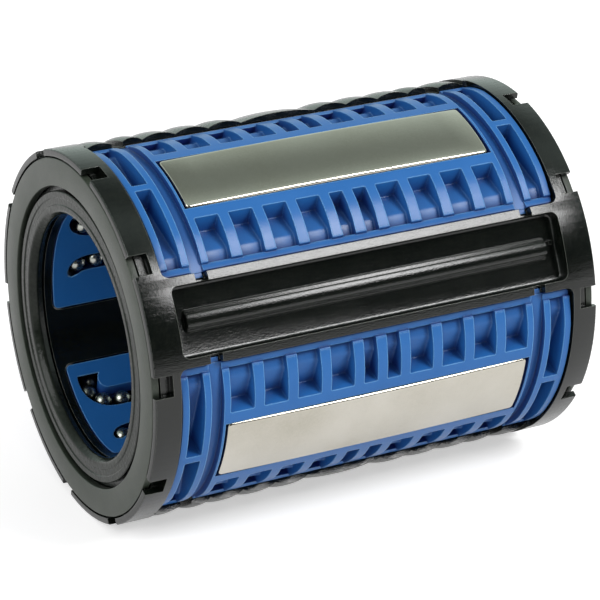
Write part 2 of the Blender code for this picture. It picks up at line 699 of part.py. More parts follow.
def build_sleeve(collection, cutters, material):
    """Moulded body: two end rings, with a web between each pair of segments."""
    seat = HALF_LENGTH - WASHER_THICKNESS - RUNNING_GAP
    shoulder = HALF_LENGTH - END_RING_LENGTH + SEAL_SHOULDER
    rim = OUTER_RADIUS - RIM_WALL
    cavity = SEAL_FLANGE_RADIUS + RUNNING_GAP
    half = [(rim, HALF_LENGTH), (rim, seat), (cavity, seat), (cavity, shoulder), (BORE_RADIUS, shoulder)]
    inside = [(radius, -along) for radius, along in half] + list(reversed(half))
    profile = [(OUTER_RADIUS, HALF_LENGTH), (OUTER_RADIUS, -HALF_LENGTH)] + inside
    facet = math.pi / TURNING_STEPS
    sleeve = turned("sleeve", profile, TURNING_STEPS, collection, material, facet)

    turns = segment_turns()
    windows = joined([window_mesh()] * SEGMENT_COUNT, turns)
    tongues = joined([tongue_mesh(ROCKING_CLEARANCE)] * SEGMENT_COUNT, turns)
    latches = joined([latch_mesh(LATCH_ROOM)] * SEGMENT_COUNT, turns)
    cut(sleeve, shaped("window_cutters", windows, cutters))
    cut(sleeve, shaped("tongue_cutters", tongues, cutters))

    for end in (1, -1):
        along = sorted((end * GROOVE_INNER, end * GROOVE_OUTER))
        cut(sleeve, ring_cutter(f"sleeve_groove_cutter_{end}", GROOVE_FLOOR, *along, cutters))
    cut(sleeve, shaped("latch_cutters", latches, cutters))
    cut(sleeve, notch_cutter(cutters))

    trough_reach = SEGMENT_HALF_LENGTH - TROUGH_END_MARGIN
    trough = trough_mesh(trough_reach)
    between = math.pi / SEGMENT_COUNT
    web_turns = [turn + between for turn in turns]
    plain = [turn for number, turn in enumerate(web_turns) if number % 2 == 1]
    lobed = [turn for number, turn in enumerate(web_turns) if number % 2 == 0]
    cut(sleeve, shaped("trough_cutters", joined([trough] * len(plain), plain), cutters))
    cut(sleeve, lobe_cutter(lobed, cutters))
    return sleeve


def build_washer(end, collection, material):
    outer = OUTER_RADIUS - RIM_WALL - RUNNING_GAP
    face = HALF_LENGTH
    back = HALF_LENGTH - WASHER_THICKNESS
    profile = [(outer, face), (outer, back), (WASHER_HOLE_RADIUS, back), (WASHER_HOLE_RADIUS, face)]
    return place_ring(f"end_washer_{end_name(end)}", end, profile, collection, material)


def build_seal(end, collection, material):
    face = HALF_LENGTH - SEAL_FACE_SETBACK
    flange_top = HALF_LENGTH - WASHER_THICKNESS - RUNNING_GAP
    base = HALF_LENGTH - END_RING_LENGTH + SEAL_SHOULDER + RUNNING_GAP
    lip = SHAFT_DIAMETER / 2 + LIP_CLEARANCE
    middle = (face + base) / 2
    profile = [
        (SEAL_COLLAR_RADIUS, face),
        (SEAL_COLLAR_RADIUS, flange_top),
        (SEAL_FLANGE_RADIUS, flange_top),
        (SEAL_FLANGE_RADIUS, base),
        (SEAL_HOLE_RADIUS, base),
        (lip, middle),
        (SEAL_HOLE_RADIUS, face),
    ]
    return place_ring(f"shaft_seal_{end_name(end)}", end, profile, collection, material)


def end_name(end):
    return "right" if end > 0 else "left"


def place_ring(name, end, profile, collection, material):
    """Turns a ring drawn at the +X end, or its mirror image at the -X end."""
    if end < 0:
        profile = [(radius, -along) for radius, along in reversed(profile)]
    ring = turned(name, profile, TURNING_STEPS, collection, material, math.pi / TURNING_STEPS)
    shade(ring.data)
    return ring


def moving_empty(name, parent, place, collection):
    empty = bpy.data.objects.new(name, None)
    empty.empty_display_size = BALL_DIAMETER
    collection.objects.link(empty)
    empty.parent = parent
    empty.matrix_local = place
    return empty


def carried(name, mesh, parent, place, collection):
    part = bpy.data.objects.new(name, mesh)
    collection.objects.link(part)
    part.parent = parent
    part.matrix_local = place
    return part


def build_circuit(label, side, pivot, meshes, collection):
    """One closed ball path: a load row, a return row and the balls round both ends."""
    lowered = Matrix.Translation((0.0, 0.0, -OUTER_RADIUS))
    path = lowered @ path_matrix(side)
    load = path @ Matrix.Translation((0.0, -TURN_RADIUS, 0.0))
    back = path @ Matrix.Translation((0.0, TURN_RADIUS, 0.0))
    carried(f"load_balls_{label}", meshes["load_row"], pivot, load, collection)
    carried(f"return_balls_{label}", meshes["return_row"], pivot, back, collection)
    for end in (1, -1):
        centre = path @ Matrix.Translation((end * TURN_CENTRE, 0.0, 0.0))
        name = f"turn_balls_{label}_{end_name(end)}"
        carried(name, meshes[f"turn_{end_name(end)}"], pivot, centre, collection)


def build_segments(collection, cutters, materials):
    """Each segment rocks about the crown of its plate, where its parent empty stands."""
    ring_station = 0.42 * BALL_RADIUS
    barrel = [(-ring_station, BALL_RADIUS * 0.97), (ring_station, BALL_RADIUS * 0.97)]
    meshes = {
        "outer_cage": outer_cage_mesh(cutters),
        "ball_retainer": retainer_mesh(cutters),
        "load_plate": load_plate_mesh(),
        "load_row": row_mesh("load_row", LOAD_BALL_SIDES, barrel),
        "return_row": row_mesh("return_row", RETURN_BALL_SIDES, [(0.0, BALL_RADIUS)]),
        "turn_right": turn_mesh("turn_right", 1, TURN_BALL_SIDES, barrel),
        "turn_left": turn_mesh("turn_left", -1, TURN_BALL_SIDES, barrel),
    }
    for name, mesh in meshes.items():
        finish = materials["cage"] if name in ("outer_cage", "ball_retainer") else materials["ball"]
        mesh.materials.clear()
        mesh.materials.append(materials["plate"] if name == "load_plate" else finish)
        shade(mesh)
    lowered = Matrix.Translation((0.0, 0.0, -OUTER_RADIUS))
    for number, turn in enumerate(segment_turns(), start=1):
        crown = Matrix.Rotation(turn, 4, "X") @ Matrix.Translation((0.0, 0.0, OUTER_RADIUS))
        pivot = moving_empty(f"segment_{number}_pivot", None, crown, collection)
        for name in ("outer_cage", "ball_retainer", "load_plate"):
            carried(f"{name}_{number}", meshes[name], pivot, lowered, collection)
        for side, letter in ((1, "a"), (-1, "b")):
            build_circuit(f"{number}{letter}", side, pivot, meshes, collection)


def build_bearing():
    clear_scene()
    parts = new_collection("linear_ball_bearing")
    cutters = new_collection("cutters")
    materials = {
        "sleeve": new_material("black_glass_filled_plastic", (0.022, 0.025, 0.024), 0.42),
        "washer": new_material("grey_black_plastic", (0.055, 0.060, 0.055), 0.5),
        "seal": new_material("black_seal_rubber", (0.018, 0.020, 0.020), 0.35),
        "cage": new_material("blue_acetal", (0.016, 0.100, 0.420), 0.38),
        "plate": new_material("ground_bearing_steel", (0.60, 0.59, 0.56), 0.28, 1.0),
        "ball": new_material("polished_ball_steel", (0.70, 0.70, 0.69), 0.12, 1.0),
    }
    sleeve = build_sleeve(parts, cutters, materials["sleeve"])
    shade(sleeve.data)
    for end in (-1, 1):
        build_washer(end, parts, materials["washer"])
        build_seal(end, parts, materials["seal"])
    build_segments(parts, cutters, materials)


build_bearing()
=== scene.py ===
"""Visual model of a closed linear ball bearing with four self-aligning twin-row segments.

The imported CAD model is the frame. The bearing axis is X, +Z is up, the origin is the
middle of the bearing on its axis, and every length is in metres. A segment is drawn with
its crown at the top, then turned round the axis to its place.
"""

import logging
import math
from collections.abc import Callable, Sequence
from dataclasses import dataclass, field
from enum import Enum

import bmesh
import bpy
from mathutils import Matrix, Vector


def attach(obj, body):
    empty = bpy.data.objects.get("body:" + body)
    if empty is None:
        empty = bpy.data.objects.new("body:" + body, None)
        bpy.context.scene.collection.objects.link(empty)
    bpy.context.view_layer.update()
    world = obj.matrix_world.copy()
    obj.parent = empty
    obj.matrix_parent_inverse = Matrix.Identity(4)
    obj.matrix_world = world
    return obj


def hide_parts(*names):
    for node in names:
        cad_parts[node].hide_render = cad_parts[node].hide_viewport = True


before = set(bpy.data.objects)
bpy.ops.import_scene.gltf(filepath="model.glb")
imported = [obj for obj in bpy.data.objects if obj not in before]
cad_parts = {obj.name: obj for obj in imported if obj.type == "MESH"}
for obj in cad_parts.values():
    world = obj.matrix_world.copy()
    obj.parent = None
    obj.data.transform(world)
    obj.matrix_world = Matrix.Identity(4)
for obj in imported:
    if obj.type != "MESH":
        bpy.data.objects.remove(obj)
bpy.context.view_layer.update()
LOG = logging.getLogger("linear_ball_bearing")

Colour = tuple[float, float, float]
Point = tuple[float, float]
Span = tuple[float, float]
EdgeTest = Callable[[bmesh.types.BMEdge], bool]

BALL_RADIUS = 0.0015875
BALL_PITCH = 0.0034036
BALLS_IN_ROW = 17
BALLS_IN_TURN = 3

# Points closer than TOUCH are in one place, and doubles within MERGE become one. An edge runs
# along a direction when MOSTLY of its length does. FACING tells faces that look up or along
# the bearing from those that don't.
TOUCH = 1e-6
MERGE = 1e-7
MOSTLY = 0.9
FACING = 0.5


class End(Enum):
    """The two ends of the bearing, by the sign of their X."""

    LEFT = -1
    RIGHT = 1

    @property
    def label(self) -> str:
        """The word that the node names use for this end."""
        return self.name.lower()


@dataclass(frozen=True)
class Layout:
    """Main sizes of the bearing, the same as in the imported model."""

    outer: float = 0.0310
    half_length: float = 0.0400
    bore: float = 0.0206
    groove_inner: float = 0.02815
    groove_outer: float = 0.03030
    groove_floor: float = 0.0295
    segment_half: float = 0.0353
    half_arc: float = math.radians(31.2)
    first_angle: float = math.radians(21.2)
    gap: float = 0.0003
    corner: float = 0.0013
    corner_facets: int = 6
    load_u: float = 0.0039007
    load_v: float = 0.0212322
    return_u: float = 0.0103275
    return_v: float = 0.0222076
    ball_room: float = 0.0002
    elbow_share: float = 1.25
    beyond: float = 0.0341
    overrun: float = 0.002
    plate_underside: float = 0.022302
    split: float = 0.0266
    groove_rib: float = 0.00085

    @property
    def channel(self) -> float:
        """Radius of a ball channel."""
        return BALL_RADIUS + self.ball_room

    @property
    def turn_radius(self) -> float:
        """Radius of the balls' half turns."""
        return BALLS_IN_TURN * BALL_PITCH / math.pi

    @property
    def turn_centre(self) -> float:
        """X of the middle of a half turn."""
        return BALLS_IN_ROW * BALL_PITCH / 2

    @property
    def path_tilt(self) -> float:
        """Slope of the plane of a ball path over the segment."""
        return math.atan2(self.return_v - self.load_v, self.return_u - self.load_u)

    @property
    def plate_half(self) -> float:
        """Half the length of a load plate."""
        return self.groove_inner - self.groove_rib

    @property
    def groove_middle(self) -> float:
        """X of the middle of the right ring groove."""
        return (self.groove_inner + self.groove_outer) / 2

    def segment_turn(self, number: int) -> float:
        """Angle that turns segment 1 to 4 from the top to its place."""
        return self.first_angle - math.pi / 2 + (number - 1) * math.pi / 2

    def side_point(self, radius: float, outward: float = 0.0) -> Point:
        """Point on a segment's side plane at this radius, moved square off the plane."""
        sine, cosine = math.sin(self.half_arc), math.cos(self.half_arc)
        return (radius * sine + outward * cosine, radius * cosine - outward * sine)

    def path_line(self, across: float, raised: float = 0.0) -> float:
        """Height of the plane through both ball rows of one side."""
        return self.load_v + (across - self.load_u) * math.tan(self.path_tilt) + raised

    def split_line(self, raised: float) -> list[Point]:
        """Where the outer cage meets the retainer, from the side to the load row.

        Args:
            raised: How far over the middle of the balls the line runs.

        Returns:
            The points of the line at +Y.
        """
        elbow = self.return_u + self.elbow_share * self.channel
        return [
            self.side_point(self.split + raised),
            (elbow, self.path_line(elbow, raised)),
            (self.load_u, self.load_v + raised),
        ]

    def path_matrix(self, side: int) -> Matrix:
        """Placing of a ball path's own plane, whose X is along the bearing and Y from load to return.

        Args:
            side: 1 for the circuit at +Y, -1 for the other.

        Returns:
            The matrix from that plane to the segment.
        """
        across = Vector((0.0, side * math.cos(self.path_tilt), math.sin(self.path_tilt)))
        along = Vector((1.0, 0.0, 0.0))
        place = Matrix((along, across, along.cross(across))).transposed().to_4x4()
        across_middle, up_middle = (self.load_u + self.return_u) / 2, (self.load_v + self.return_v) / 2
        place.translation = (0.0, side * across_middle, up_middle)
        return place


PLAN = Layout()


def polar(radius: float, angle: float) -> Point:
    """Cross-section point at this radius, with the angle measured from +Z towards +Y."""
    return (radius * math.sin(angle), radius * math.cos(angle))


def arc(radius: float, start: float, end: float, steps: int) -> list[Point]:
    """Points along an arc of the cross-section."""
    return [polar(radius, start + (end - start) * step / steps) for step in range(steps + 1)]


def flipped(outline: list[Point]) -> list[Point]:
    """The outline's mirror image at -Y, in reverse order."""
    return [(-across, up) for across, up in reversed(outline)]


def shifted(outline: Sequence[Point], first: float, second: float) -> list[Point]:
    """The outline, moved by these two amounts."""
    return [(first + one, second + other) for one, other in outline]


class Mould:
    """A shape in the making: a bmesh with short calls over its operators."""

    def __init__(self) -> None:
        """Starts with nothing in it."""
        self.work = bmesh.new()

    @classmethod
    def prism(cls, outline: list[Point], start: float, end: float) -> "Mould":
        """Carries a flat outline of the cross-section along X.

        Args:
            outline: Points as (Y, Z), in order.
            start: X of one end.
            end: X of the other end.

        Returns:
            The closed shape.
        """
        made = cls()
        verts = [made.work.verts.new((start, across, up)) for across, up in outline]
        face = made.work.faces.new(verts)
        grown = bmesh.ops.extrude_face_region(made.work, geom=[face])["geom"]
        moved = [item for item in grown if isinstance(item, bmesh.types.BMVert)]
        bmesh.ops.translate(made.work, vec=(end - start, 0.0, 0.0), verts=moved)
        return made.righted()

    @classmethod
    def turned(
        cls, profile: list[Point], steps: int, first: float = 0.0, sweep: float = math.tau
    ) -> "Mould":
        """Turns a closed profile round the bearing axis.

        Args:
            profile: Points as (radius, X), in order.
            steps: Facets over the whole sweep.
            first: Angle at which it starts, from +Z.
            sweep: Angle that it covers.

        Returns:
            The closed ring, or a closed sector of it.
        """
        made = cls()
        verts = [made.work.verts.new((along, 0.0, radius)) for radius, along in profile]
        edges = [made.work.edges.new((verts[place - 1], verts[place])) for place in range(len(verts))]
        full = sweep > math.tau - TOUCH
        made.moved(Matrix.Rotation(-first, 4, "X"))
        bmesh.ops.spin(
            made.work, geom=verts + edges, cent=(0.0, 0.0, 0.0), axis=(-1.0, 0.0, 0.0),
            angle=sweep, steps=steps, use_merge=full, use_duplicate=False,
        )
        if not full:
            rims = [edge for edge in made.work.edges if edge.is_boundary]
            bmesh.ops.holes_fill(made.work, edges=rims, sides=0)
        return made.righted()

    def righted(self) -> "Mould":
        """Merges doubles and points every face outwards.

        Returns:
            This shape.
        """
        bmesh.ops.remove_doubles(self.work, verts=self.work.verts, dist=MERGE)
        bmesh.ops.recalc_face_normals(self.work, faces=self.work.faces)
        return self

    def moved(self, place: Matrix) -> "Mould":
        """Moves the whole shape."""
        bmesh.ops.transform(self.work, matrix=place, verts=self.work.verts)
        return self

    def rounded(self, radius: float, segments: int, chosen: EdgeTest) -> "Mould":
        """Rounds the edges that the test picks.

        Args:
            radius: Distance from the edge to where the rounding ends.
            segments: Facets over the rounding.
            chosen: Test of one edge.

        Returns:
            This shape.
        """
        edges = [edge for edge in self.work.edges if chosen(edge)]
        bmesh.ops.bevel(
            self.work, geom=edges, offset=radius, offset_type="OFFSET", segments=segments,
            profile=0.5, affect="EDGES", material=-1, clamp_overlap=True,
        )
        return self

    def sliced(self, stations: list[float]) -> "Mould":
        """Cuts new edge loops across the shape.

        Args:
            stations: X of each loop.

        Returns:
            This shape.
        """
        for along in stations:
            everything = self.work.verts[:] + self.work.edges[:] + self.work.faces[:]
            bmesh.ops.bisect_plane(
                self.work, geom=everything, plane_co=(along, 0.0, 0.0), plane_no=(1.0, 0.0, 0.0), dist=MERGE
            )
        return self

    def copied(self, places: list[Matrix]) -> "Mould":
        """Makes one shape of this one set at several places, which ends the making of this one.

        Args:
            places: Where the copies go.

        Returns:
            The new shape.
        """
        blank = self.mesh("blank")
        made = Mould()
        for place in places:
            before = len(made.work.verts)
            made.work.from_mesh(blank)
            made.work.verts.ensure_lookup_table()
            bmesh.ops.transform(made.work, matrix=place, verts=made.work.verts[before:])
        bmesh.ops.recalc_face_normals(made.work, faces=made.work.faces)
        return made

    def joined(self, other: "Mould") -> "Mould":
        """Adds another shape beside this one, which ends the making of the other."""
        self.work.from_mesh(other.mesh("joined"))
        return self

    def mesh(self, name: str) -> bpy.types.Mesh:
        """Turns the shape into a mesh, which ends the making of it.

        Args:
            name: Name of the mesh.

        Returns:
            The new mesh.
        """
        made = bpy.data.meshes.new(name)
        self.work.to_mesh(made)
        self.work.free()
        return made


class Cut(Enum):
    """What a cutter does to a blank."""

    TAKE = "DIFFERENCE"
    ADD = "UNION"


class Bench:
    """Where a blank is cut with cutters, one after another."""

    def __init__(self, blank: Mould) -> None:
        """Clamps the blank."""
        self.part = self._object(blank)

    def _object(self, shape: Mould) -> bpy.types.Object:
        """Makes an object of a shape, linked to the scene for as long as the work lasts.

        Args:
            shape: The blank or a cutter.

        Returns:
            The new object.
        """
        made = bpy.data.objects.new("blank", shape.mesh("blank"))
        bpy.context.scene.collection.objects.link(made)
        return made

    def cut(self, cutter: Mould, way: Cut = Cut.TAKE) -> "Bench":
        """Cuts the part, and clears the cutter away.

        Args:
            cutter: The closed shape that cuts.
            way: Whether it takes away or adds what is inside it.

        Returns:
            This bench.
        """
        tool = self._object(cutter)
        modifier = self.part.modifiers.new("cut", "BOOLEAN")
        modifier.operation = way.value
        modifier.solver = "EXACT"
        modifier.object = tool
        worked = self.part.evaluated_get(bpy.context.evaluated_depsgraph_get())
        cut_mesh = bpy.data.meshes.new_from_object(worked)
        self.part.modifiers.clear()
        self.part.data = cut_mesh
        bpy.data.objects.remove(tool, do_unlink=True)
        return self

    def finished(self, name: str, sharp: float = math.radians(28)) -> bpy.types.Mesh:
        """Takes the part off the bench.

        Args:
            name: Name of the mesh.
            sharp: Edges that turn more than this stay sharp.

        Returns:
            The smooth-shaded mesh.
        """
        mesh = self.part.data
        mesh.name = name
        bpy.data.objects.remove(self.part, do_unlink=True)
        return smoothed(mesh, sharp)


def smoothed(mesh: bpy.types.Mesh, sharp: float = math.radians(28)) -> bpy.types.Mesh:
    """Shades a mesh smooth between its sharp edges.

    Args:
        mesh: The mesh to shade.
        sharp: Edges that turn more than this stay sharp.

    Returns:
        The same mesh.
    """
    mesh.shade_smooth()
    mesh.set_sharp_from_angle(angle=sharp)
    return mesh


def turns(angles: list[float]) -> list[Matrix]:
    """Rotations about the bearing axis."""
    return [Matrix.Rotation(angle, 4, "X") for angle in angles]


def along_x(edge: bmesh.types.BMEdge) -> bool:
    """Whether the edge runs along the bearing axis."""
    first, second = (vert.co for vert in edge.verts)
    return abs(first.x - second.x) > MOSTLY * (first - second).length


def ring_groove(end: End, steps: int, first: float = 0.0, sweep: float = math.tau) -> Mould:
    """Shapes the cutter for the retaining ring groove at one end.

    Args:
        end: The end of the bearing.
        steps: Facets over the sweep.
        first: Angle at which it starts, from +Z.
        sweep: Angle that it covers.

    Returns:
        The closed ring, or a closed sector of it.
    """
    near, far, floor = end.value * PLAN.groove_inner, end.value * PLAN.groove_outer, PLAN.groove_floor
    profile = [(PLAN.beyond, near), (PLAN.beyond, far), (floor, far), (floor, near)]
    return Mould.turned(profile, steps, first, sweep)


def side_blocks(heights: Span, inward: float, outward: float, middle: float, reach: float) -> list[Mould]:
    """Shapes blocks that stand across both side planes of a segment.

    Args:
        heights: Radii between which a block stands.
        inward: How far it reaches into the segment.
        outward: How far it reaches out of it.
        middle: X of its middle.
        reach: Half its length along the bearing.

    Returns:
        The block at +Y and the one at -Y.
    """
    low, high = heights
    right = [
        PLAN.side_point(low, -inward), PLAN.side_point(low, outward),
        PLAN.side_point(high, outward), PLAN.side_point(high, -inward),
    ]
    return [Mould.prism(side, middle - reach, middle + reach) for side in (right, flipped(right))]


class Graph:
    """A node tree that is filled by short calls."""

    def __init__(self, tree: bpy.types.NodeTree) -> None:
        """Keeps the tree that the nodes go into."""
        self.tree = tree

    def node(self, kind: str, inputs: dict | None = None, **settings: object) -> bpy.types.Node:
        """Adds one node.

        Args:
            kind: Blender's name of the node type.
            inputs: Values or output sockets, by the name or the place of the input.
            **settings: Properties of the node itself.

        Returns:
            The new node.
        """
        made = self.tree.nodes.new(kind)
        for name, value in settings.items():
            setattr(made, name, value)
        for key, value in (inputs or {}).items():
            self.feed(made.inputs[key], value)
        return made

    def feed(self, socket: bpy.types.NodeSocket, value: object) -> None:
        """Links an output socket to an input, or sets the input to a plain value.

        Args:
            socket: The input.
            value: An output socket, a number or a colour.
        """
        if isinstance(value, bpy.types.NodeSocket):
            self.tree.links.new(value, socket)
        elif isinstance(value, tuple) and socket.type == "RGBA":
            socket.default_value = (*value, 1.0)
        else:
            socket.default_value = value

    def math(self, operation: str, first: object, second: object = 0.0) -> bpy.types.NodeSocket:
        """Output of a Math node on two values or sockets."""
        return self.node("ShaderNodeMath", {0: first, 1: second}, operation=operation).outputs[0]

    def ramp(
        self, value: object, limits: Span, start: float = 0.0, end: float = 1.0
    ) -> bpy.types.NodeSocket:
        """Output of a clamped Map Range from the limits to start..end."""
        inputs = {
            "Value": value, "From Min": limits[0], "From Max": limits[1], "To Min": start, "To Max": end,
        }
        return self.node("ShaderNodeMapRange", inputs, clamp=True).outputs["Result"]

    def mix(self, factor: object, first: object, second: object) -> bpy.types.NodeSocket:
        """Colour output of a Mix node between two colours."""
        inputs = {"Factor": factor, 6: first, 7: second}
        return self.node("ShaderNodeMix", inputs, data_type="RGBA").outputs[2]

    def mix_values(self, factor: object, first: object, second: object) -> bpy.types.NodeSocket:
        """Output of a Mix node between two numbers."""
        return self.node("ShaderNodeMix", {0: factor, 2: first, 3: second}, data_type="FLOAT").outputs[0]

    def noise(self, scale: object, detail: float) -> bpy.types.NodeSocket:
        """Adds noise over Object coordinates.

        Args:
            scale: Cells per metre.
            detail: Octaves of the noise.

        Returns:
            The noise value, about 0.5 on average.
        """
        place = self.node("ShaderNodeTexCoord").outputs["Object"]
        inputs = {"Vector": place, "Scale": scale, "Detail": detail}
        return self.node("ShaderNodeTexNoise", inputs).outputs["Fac"]

    def group(self, tree: bpy.types.NodeTree, inputs: dict[str, float]) -> bpy.types.Node:
        """Places a shared group, with its own values."""
        return self.node("ShaderNodeGroup", inputs, node_tree=tree)


@dataclass
class EffectLibrary:
    """Shader groups that several finishes share, each built once."""

    samples: int = 4
    # Limits of the masks for the painted highlight on outer edges and for the painted shade in hollows.
    edge_turn: Span = (0.995, 0.80)
    outer_sky: Span = (0.62, 0.92)
    painted_shade_sky: Span = (0.85, 0.35)
    fine_detail: float = 3.0
    fine_weight: float = 0.7
    broad_detail: float = 2.0
    broad_share: float = 0.17
    fleck_limits: Span = (0.42, 0.62)
    cloud_detail: float = 4.0
    edges: bpy.types.NodeTree = field(init=False)
    flecks: bpy.types.NodeTree = field(init=False)
    clouds: bpy.types.NodeTree = field(init=False)

    def __post_init__(self) -> None:
        """Builds every group."""
        self.edges = self._edges()
        self.flecks = self._flecks()
        self.clouds = self._clouds()

    def _new(
        self, name: str, inputs: dict[str, float], outputs: dict[str, str]
    ) -> tuple[Graph, bpy.types.Node, bpy.types.Node]:
        """Opens a group.

        Args:
            name: Name of the group.
            inputs: Default value of each number that goes in.
            outputs: Socket type of each result.

        Returns:
            The graph and the group's input and output nodes.
        """
        tree = bpy.data.node_groups.new(name, "ShaderNodeTree")
        for label, value in inputs.items():
            socket = tree.interface.new_socket(label, in_out="INPUT", socket_type="NodeSocketFloat")
            socket.default_value = value
        for label, kind in outputs.items():
            tree.interface.new_socket(label, in_out="OUTPUT", socket_type=kind)
        graph = Graph(tree)
        return graph, graph.node("NodeGroupInput"), graph.node("NodeGroupOutput")

    def _edges(self) -> bpy.types.NodeTree:
        """Builds rounded normals over edges, with a mask for a painted highlight on open outer edges and one
        for painted shade in hollows, where ambient occlusion finds the surface hemmed in.

        Returns:
            The group.
        """
        outputs = {"Edge": "NodeSocketFloat", "Painted_Shade": "NodeSocketFloat", "Normal": "NodeSocketVector"}
        graph, given, result = self._new("rounded_edges", {"Width": 0.00012, "Depth": 0.0015}, outputs)
        width, depth = given.outputs["Width"], given.outputs["Depth"]
        rounded = graph.node("ShaderNodeBevel", {"Radius": width}, samples=self.samples).outputs[0]
        flat = graph.node("ShaderNodeNewGeometry").outputs["Normal"]
        compared = graph.node("ShaderNodeVectorMath", {0: rounded, 1: flat}, operation="DOT_PRODUCT")
        turn = graph.ramp(compared.outputs["Value"], self.edge_turn)
        occlusion = graph.node("ShaderNodeAmbientOcclusion", {"Distance": depth}, samples=self.samples)
        open_sky = occlusion.outputs["AO"]
        outer = graph.ramp(open_sky, self.outer_sky)
        # Painted highlight: lighter where the rounded normal turns off the flat one at an open edge.
        graph.feed(result.inputs["Edge"], graph.math("MULTIPLY", turn, outer))
        # Painted shade: darker where ambient occlusion finds the surface hemmed in.
        graph.feed(result.inputs["Painted_Shade"], graph.ramp(open_sky, self.painted_shade_sky))
        graph.feed(result.inputs["Normal"], rounded)
        return graph.tree

    def _flecks(self) -> bpy.types.NodeTree:
        """Builds fine flecks of glass fibre or dust, with a height for the moulded grain.

        Returns:
            The group.
        """
        inputs = {"Scale": 5000.0, "Amount": 0.5}
        outputs = {"Mask": "NodeSocketFloat", "Height": "NodeSocketFloat"}
        graph, given, result = self._new("flecks", inputs, outputs)
        scale, weight = given.outputs["Scale"], self.fine_weight
        fine = graph.noise(scale, self.fine_detail)
        broad = graph.noise(graph.math("MULTIPLY", scale, self.broad_share), self.broad_detail)
        fine_part = graph.math("MULTIPLY", fine, weight)
        broad_part = graph.math("MULTIPLY", broad, 1 - weight)
        sharp = graph.ramp(graph.math("ADD", fine_part, broad_part), self.fleck_limits)
        graph.feed(result.inputs["Mask"], graph.math("MULTIPLY", sharp, given.outputs["Amount"]))
        graph.feed(result.inputs["Height"], fine)
        return graph.tree

    def _clouds(self) -> bpy.types.NodeTree:
        """Builds soft patches, such as handling marks or an oil film.

        Returns:
            The group.
        """
        inputs = {"Scale": 120.0, "Low": 0.28, "High": 0.72}
        graph, given, result = self._new("clouds", inputs, {"Mask": "NodeSocketFloat"})
        noise = graph.noise(given.outputs["Scale"], self.cloud_detail)
        limits = {"Value": noise, "From Min": given.outputs["Low"], "From Max": given.outputs["High"]}
        mask = graph.node("ShaderNodeMapRange", limits, clamp=True).outputs["Result"]
        graph.feed(result.inputs["Mask"], mask)
        return graph.tree


@dataclass(frozen=True)
class Finish:
    """A surface finish made of a base colour, clouds, flecks, a painted highlight on outer edges and painted
    shade in hollows.

    Scales are in cells per metre, and amounts are shares of one.
    """

    name: str
    slot: str
    base: Colour
    clouded: Colour
    fleck: Colour
    # Colour of the painted highlight along outer edges.
    edge: Colour
    # Colour of the painted shade in hollows and corners.
    painted_shade: Colour
    fleck_scale: float
    fleck_amount: float
    cloud_scale: float
    roughness: Span
    edge_width: float
    # How much of the painted highlight and of the painted shade is mixed in.
    painted_highlight_amount: float
    painted_shade_amount: float
    grain_height: float
    metallic: float = 0.0
    specular: float = 0.5
    hollow_depth: float = 0.0015

    def material(self, effects: EffectLibrary) -> bpy.types.Material:
        """Builds the material of this finish.

        Args:
            effects: The shared shader groups.

        Returns:
            The new material.
        """
        material = bpy.data.materials.new(self.name)
        material.use_nodes = True
        graph = Graph(material.node_tree)
        shader = material.node_tree.nodes["Principled BSDF"]
        edges = graph.group(effects.edges, {"Width": self.edge_width, "Depth": self.hollow_depth})
        flecks = graph.group(effects.flecks, {"Scale": self.fleck_scale, "Amount": self.fleck_amount})
        clouds = graph.group(effects.clouds, {"Scale": self.cloud_scale})
        colour = graph.mix(clouds.outputs["Mask"], self.base, self.clouded)
        colour = graph.mix(flecks.outputs["Mask"], colour, self.fleck)
        # Painted shade in hollows and corners.
        painted_shade = graph.math("MULTIPLY", edges.outputs["Painted_Shade"], self.painted_shade_amount)
        colour = graph.mix(painted_shade, colour, self.painted_shade)
        # Painted highlight along open outer edges.
        edge = graph.math("MULTIPLY", edges.outputs["Edge"], self.painted_highlight_amount)
        colour = graph.mix(edge, colour, self.edge)
        graph.feed(shader.inputs["Base Color"], colour)
        roughness = graph.ramp(clouds.outputs["Mask"], (0.0, 1.0), *self.roughness)
        graph.feed(shader.inputs["Roughness"], roughness)
        shader.inputs["Metallic"].default_value = self.metallic
        shader.inputs["Specular IOR Level"].default_value = self.specular
        bump = graph.node("ShaderNodeBump", {
            "Strength": 1.0,
            "Distance": self.grain_height,
            "Height": flecks.outputs["Height"],
            "Normal": edges.outputs["Normal"],
        })
        graph.feed(shader.inputs["Normal"], bump.outputs["Normal"])
        return material


# In every finish, the edge colour is a painted highlight along outer edges, and the colour given for hollows
# is painted shade in hollows and corners.
SLEEVE_PLASTIC = Finish(
    name="black_glass_filled_plastic", slot="sleeve_plastic",
    base=(0.0014, 0.0024, 0.0020), clouded=(0.0026, 0.0038, 0.0032), fleck=(0.022, 0.025, 0.018),
    edge=(0.30, 0.32, 0.28), painted_shade=(0.0012, 0.0018, 0.0016),
    fleck_scale=4400.0, fleck_amount=0.22, cloud_scale=160.0, roughness=(0.13, 0.17),
    edge_width=0.00013, painted_highlight_amount=0.60, painted_shade_amount=0.85, grain_height=0.000030,
)
WASHER_PLASTIC = Finish(
    name="grey_black_plastic", slot="washer_plastic",
    base=(0.0200, 0.0270, 0.0190), clouded=(0.0280, 0.0370, 0.0265), fleck=(0.070, 0.080, 0.062),
    edge=(0.24, 0.26, 0.22), painted_shade=(0.002, 0.003, 0.0025),
    fleck_scale=3800.0, fleck_amount=0.30, cloud_scale=180.0, roughness=(0.32, 0.40),
    edge_width=0.00012, painted_highlight_amount=0.5, painted_shade_amount=0.8, grain_height=0.000025, specular=0.38,
)
